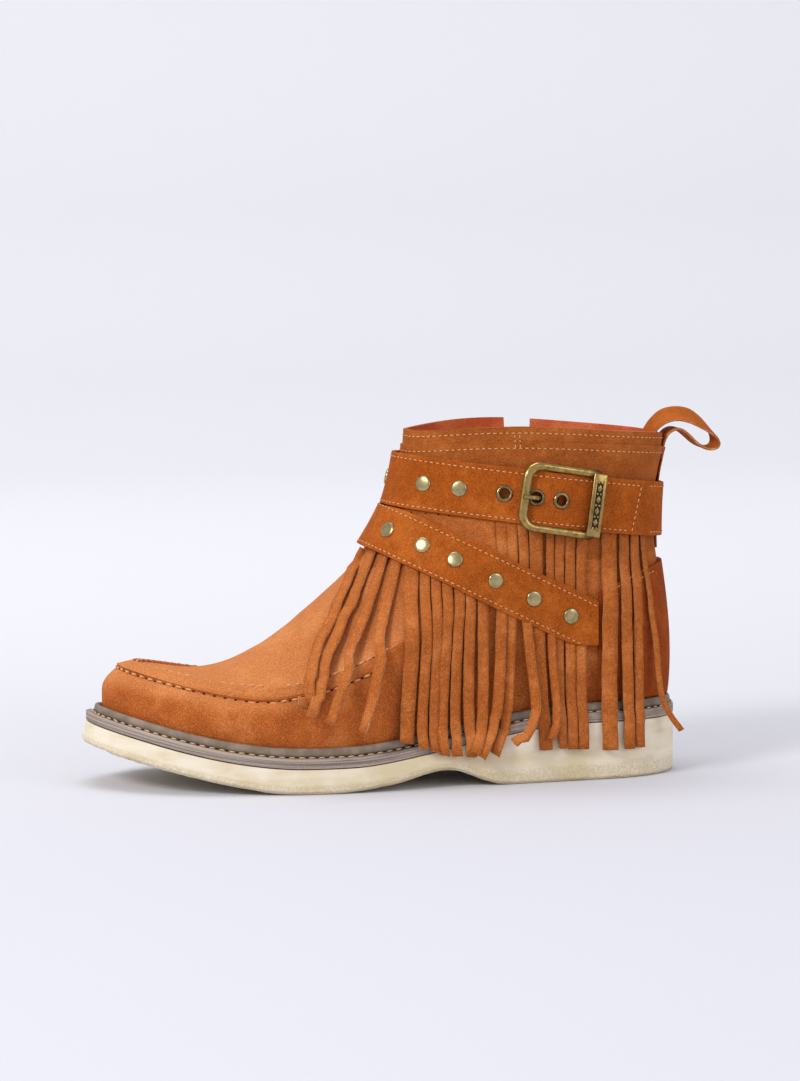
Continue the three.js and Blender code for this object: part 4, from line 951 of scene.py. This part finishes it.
makeFringe("fringe_outer_cut", "fringe_outer", outerStrands, -1, (-84, -45.8, -1, over, under))
makeFringe("fringe_outer_heel_cut", "fringe_outer_heel", heelStrands, -1)
makeFringe("fringe_inner_cut", "fringe_inner", innerStrands, 1, (-84, -34, 1, over, under))
makeFringe("fringe_inner_heel_cut", "fringe_inner_heel", innerHeelStrands, 1)
print("fringe made")


# Flat places on the metal parts: centre, axis pointing away from the boot, lowest and highest reach.
def seatOf(name):
    points = np.array([v.co[:] for v in nodes[name].data.vertices])
    centre = points.mean(axis=0)
    axis = Vector(np.linalg.svd(points - centre)[2][2])
    centre = Vector(centre)
    if axis.dot(centre - Vector((-0.03, 0, centre.z))) < 0:
        axis = -axis
    reach = [(Vector(p) - centre).dot(axis) for p in points]
    return centre, axis, min(reach), max(reach)


def turnedShape(bm, centre, axis, profile, steps=24):
    turn = axis.to_track_quat("Z", "Y").to_matrix().to_4x4()
    matrix = Matrix.Translation(centre) @ turn
    verts = [bm.verts.new(matrix @ Vector((r * mm, 0, h * mm))) for r, h in profile]
    edges = [bm.edges.new(pair) for pair in zip(verts, verts[1:])]
    bmesh.ops.spin(bm, geom=verts + edges, cent=centre, axis=axis, dvec=(0, 0, 0), angle=math.tau,
                   steps=steps, use_merge=True)


# Profiles: radius and height in mm.
studProfile = [
    (3.55, -0.6), (3.55, 0.3), (3.42, 0.6), (3.12, 0.78), (2.6, 0.9), (1.8, 1.0), (0.9, 1.06), (0.0, 1.08)]
eyeletProfile = [
    (2.3, -1.6), (2.3, 0.25), (2.42, 0.62), (2.75, 0.88), (3.2, 0.86), (3.65, 0.55), (3.9, 0.1),
    (3.95, -0.3)]


def makeFasteners():
    for prefix, profile, look in (("stud_", studProfile, stud), ("eyelet_", eyeletProfile, bronze)):
        names = [name for name in nodes if name.startswith(prefix)]
        bm = bmesh.new()
        for name in names:
            centre, axis, low, high = seatOf(name)
            height = low - 0.6 * mm if prefix == "stud_" else high - 1.2 * mm
            turnedShape(bm, centre + axis * height, axis, profile)
        bmesh.ops.remove_doubles(bm, verts=bm.verts, dist=0.01 * mm)
        bmesh.ops.recalc_face_normals(bm, faces=bm.faces)
        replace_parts(publish(prefix + "heads", bm, [look]), *names)


makeFasteners()


# Axes of the buckle from its flat plate: along the strap, across it, and out from the boot.
def buckleAxes():
    mesh = nodes["buckle_plate"].data
    ends = max(([mesh.vertices[i].co for i in edge.vertices] for edge in mesh.edges),
               key=lambda pair: (pair[1] - pair[0]).length if abs((pair[1] - pair[0]).z) > 0.018 else 0)
    across = (ends[1] - ends[0]).normalized()
    if across.z < 0:
        across = -across
    out = max((p for p in mesh.polygons if p.normal.y < 0 and abs(p.normal.dot(across)) < 0.05),
              key=lambda p: p.area).normal.copy()
    along = across.cross(out).normalized()
    if along.x < 0:
        along = -along
    points = [v.co for v in nodes["buckle_frame"].data.vertices]

    def span(axis):
        reach = [p.dot(axis) for p in points]
        return min(reach), max(reach)

    (x0, x1), (y0, y1), (_, z1) = span(along), span(across), span(out)
    centre = along * ((x0 + x1) / 2) + across * ((y0 + y1) / 2) + out * z1
    return Matrix.Translation(centre) @ Matrix((along, across, out)).transposed().to_4x4()


buckle = {
    "length": 38.6, "height": 31.4, "corner": 8.5, "backCorner": 2.5, "thick": 1.55,
    "front": 2.25, "rail": 1.85, "back": 2.0, "darkFrom": 11.5, "plate": (6.6, 28.6, 2.1),
    "bar": {"x": -2.8, "z": -4.4, "radius": 0.9}, "sides": 12,
}


# Rounded rod swept round the buckle's outline. Sizes are in mm in the buckle's own axes.
def makeBuckle():
    seat = buckleAxes()
    half, tall = buckle["length"] / 2, buckle["height"] / 2
    front, rail, back = buckle["front"], buckle["rail"], buckle["back"]
    x0, x1, y1 = front - half, half - back, tall - rail
    path = []

    def corner(cx, cy, radius, start):
        for i in range(9):
            a = start + math.pi / 2 * i / 8
            path.append(Vector((cx + radius * math.cos(a), cy + radius * math.sin(a), 0)))

    c, d = buckle["corner"] - front, buckle["backCorner"]
    corner(x1 - d, y1 - d, d, 0)
    corner(x0 + c, y1 - c, c, math.pi / 2)
    corner(x0 + c, c - y1, c, math.pi)
    corner(x1 - d, d - y1, d, 1.5 * math.pi)
    fine = []
    for a, b in zip(path, path[1:] + path[:1]):
        steps = max(1, round((b - a).length / 2))
        fine += [a.lerp(b, i / steps) for i in range(steps)]
    bm = bmesh.new()
    tarnish = bm.verts.layers.float.new("tarnish")
    rings = []
    for i, p in enumerate(fine):
        run = (fine[(i + 1) % len(fine)] - fine[i - 1]).normalized()
        side = Vector((run.y, -run.x, 0))
        wide = front * max(0, -side.x) + back * max(0, side.x) + rail * (1 - abs(side.x))
        ring = []
        for k in range(buckle["sides"]):
            a = math.tau * k / buckle["sides"]
            spot = p + side * wide * math.cos(a) + Vector((0, 0, buckle["thick"] * (math.sin(a) - 0.75)))
            vert = bm.verts.new(seat @ (spot * mm))
            vert[tarnish] = min(1, max(0, (p.x - buckle["darkFrom"]) / 2.5))
            ring.append(vert)
        rings.append(ring)
    for a, b in zip(rings, rings[1:] + rings[:1]):
        for k in range(buckle["sides"]):
            n = (k + 1) % buckle["sides"]
            bm.faces.new((a[k], a[n], b[n], b[k]))
    bar = buckle["bar"]
    turn = Matrix.Rotation(math.pi / 2, 4, "X")
    place = Matrix.Translation(Vector((bar["x"], 0, bar["z"])) * mm)
    bmesh.ops.create_cone(bm, cap_ends=True, segments=12, radius1=bar["radius"] * mm,
                          radius2=bar["radius"] * mm, depth=2 * y1 * mm, matrix=seat @ place @ turn)
    for end in (-1, 1):
        size = Matrix.Diagonal((3.4 * mm, 2.6 * mm, 4.2 * mm, 1))
        place = Matrix.Translation(Vector((bar["x"], end * (y1 - 0.1), bar["z"] + 1.4)) * mm)
        bmesh.ops.create_cube(bm, size=1, matrix=seat @ place @ size)
    bmesh.ops.recalc_face_normals(bm, faces=bm.faces)
    made = publish("buckle_ring", bm, [brass])
    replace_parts(made, "buckle_frame")
    return seat


# Plate on the buckle's back bar: a raised rim, a dark field, and lozenges between beads.
ornament = {"count": 4, "pitch": 5.1, "field": (3.6, 21.4), "bead": 0.62}


def roundedBox(bm, matrix, size, bevel, material=0):
    old = set(bm.faces)
    made = bmesh.ops.create_cube(bm, size=1, matrix=matrix @ Matrix.Diagonal((*[v * mm for v in size], 1)))
    edges = list({e for v in made["verts"] for e in v.link_edges})
    bmesh.ops.bevel(bm, geom=edges, offset=bevel * mm, segments=3, profile=0.5, affect="EDGES", material=-1)
    for face in set(bm.faces) - old:
        face.material_index = material


def makePlate(seat):
    bm = bmesh.new()
    wide, tall, thick = buckle["plate"]
    centre = seat @ Matrix.Translation(Vector((buckle["length"] / 2 - wide / 2 + 0.5, 0, 0.35)) * mm)
    roundedBox(bm, centre, (wide, tall, thick), 0.8)
    top = thick / 2
    field = centre @ Matrix.Translation(Vector((0, 0, top)) * mm)
    roundedBox(bm, field, (*ornament["field"], 0.12), 0.05, 1)
    for end in (-1, 1):
        for size, place in (((0.5, ornament["field"][1] + 0.9, 0.5), (end * ornament["field"][0] / 2, 0)),
                            ((ornament["field"][0] + 0.5, 0.5, 0.5), (0, end * ornament["field"][1] / 2))):
            roundedBox(bm, field @ Matrix.Translation(Vector((*place, 0.05)) * mm), size, 0.18)
    for i in range(ornament["count"]):
        y = (i - (ornament["count"] - 1) / 2) * ornament["pitch"]
        lozenge = field @ Matrix.Translation(Vector((0, y, 0.05)) * mm)
        turn = Matrix.Diagonal((0.72, 1.1, 1, 1)) @ Matrix.Rotation(math.pi / 4, 4, "Z")
        roundedBox(bm, lozenge @ turn, (2.3, 2.3, 0.75), 0.25)
    for i in range(ornament["count"] + 1):
        y = (i - ornament["count"] / 2) * ornament["pitch"]
        for x in (-0.8, 0.8):
            place = Matrix.Translation(Vector((x, y, 0.1)) * mm)
            bmesh.ops.create_uvsphere(bm, u_segments=10, v_segments=6, radius=ornament["bead"] * mm,
                                      matrix=field @ place)
    made = publish("plate_ornament", bm, [brass, dark])
    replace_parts(made, "buckle_plate")


makePlate(makeBuckle())
metalPieces = {
    "prong": {"nodes": ["buckle_prong"], "body": "root", "width": 0.1, "levels": 2},
    "slider": {"nodes": ["zip_slider"], "body": "root", "width": 0.15, "levels": 0},
    "pull": {"nodes": ["zip_pull"], "body": "zip_pull", "width": 0.15, "levels": 0},
}
for name, spec in metalPieces.items():
    piece = publish(name + "_smooth", cadCopy(*spec["nodes"]), [brass], body=spec["body"])
    refine(piece, spec["width"], spec["levels"], limit=40)
    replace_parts(piece, *spec["nodes"])


# Zip teeth in two interlocking rows, along the middle of the CAD chain.
teeth = {"pitch": 1.5, "reach": 1.25, "size": (2.7, 1.3, 0.85), "x": -20, "low": 54, "high": 150}


def makeTeeth():
    chain = treeFrom(nodes["zip_chain"])
    items = []
    line = sideLine(chain, [(teeth["x"], teeth["low"]), (teeth["x"], teeth["high"])], 1)
    for i, p in enumerate(evenly(line, teeth["pitch"])):
        normal = chain.find_nearest(p)[1]
        side = 1 if i % 2 else -1
        turn = Matrix((Vector((1, 0, 0)), normal, Vector((1, 0, 0)).cross(normal))).transposed().to_4x4()
        place = Matrix.Translation(p + Vector((side * teeth["reach"] * 0.5 * mm, 0, 0))) @ turn
        items.append((place, 0))

    def tooth(bm):
        roundedBox(bm, Matrix(), teeth["size"], 0.2)

    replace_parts(scatter("zip_teeth", tooth, items, [bronze]), "zip_chain")


makeTeeth()
print("metal made")


def makeStudio():
    bm = bmesh.new()
    profile = [(-3.4, 0), (1.7, 0), (2.1, 0.05), (2.4, 0.2), (2.58, 0.5), (2.62, 3)]
    verts = [bm.verts.new((-3.8, y, z)) for y, z in profile]
    edges = [bm.edges.new(pair) for pair in zip(verts, verts[1:])]
    grown = bmesh.ops.extrude_edge_only(bm, edges=edges)["geom"]
    bmesh.ops.translate(bm, vec=(7.6, 0, 0), verts=[g for g in grown if isinstance(g, bmesh.types.BMVert)])
    bmesh.ops.recalc_face_normals(bm, faces=bm.faces)
    mesh = bpy.data.meshes.new("backdrop")
    bm.to_mesh(mesh)
    bm.free()
    mesh.polygons.foreach_set("use_smooth", [True] * len(mesh.polygons))
    # Painted shade: the paper runs from the darker floor colour at the front to the wall colour at the
    # back.
    paper = material("paper", lambda f: {
        "Base Color": f.node("SeparateXYZ", None, {0: f.place()}, 1).between(-0.3, 1.6).mix(
            linear(*studio["floor"]), linear(*studio["wall"])),
        "Roughness": 0.9, "Specular IOR Level": 0.1})
    mesh.materials.append(paper)
    backdrop = bpy.data.objects.new("backdrop", mesh)
    bpy.context.scene.collection.objects.link(backdrop)
    for spec in studio["lights"]:
        data = bpy.data.lights.new(spec["name"], "AREA")
        data.shape = "DISK"
        data.size = spec["size"]
        data.energy = spec["power"]
        light = bpy.data.objects.new(spec["name"], data)
        bpy.context.scene.collection.objects.link(light)
        lookAt(light, spec["place"], spec["aim"])
    world = bpy.data.worlds.new("room")
    bpy.context.scene.world = world
    world.use_nodes = True
    world.node_tree.nodes["Background"].inputs[0].default_value = (*studio["sky"], 1)
    world.node_tree.nodes["Background"].inputs[1].default_value = studio["skyStrength"]
    bpy.context.scene.view_settings.view_transform = "Standard"


makeStudio()
bpy.context.view_layer.update()
print("studio made")
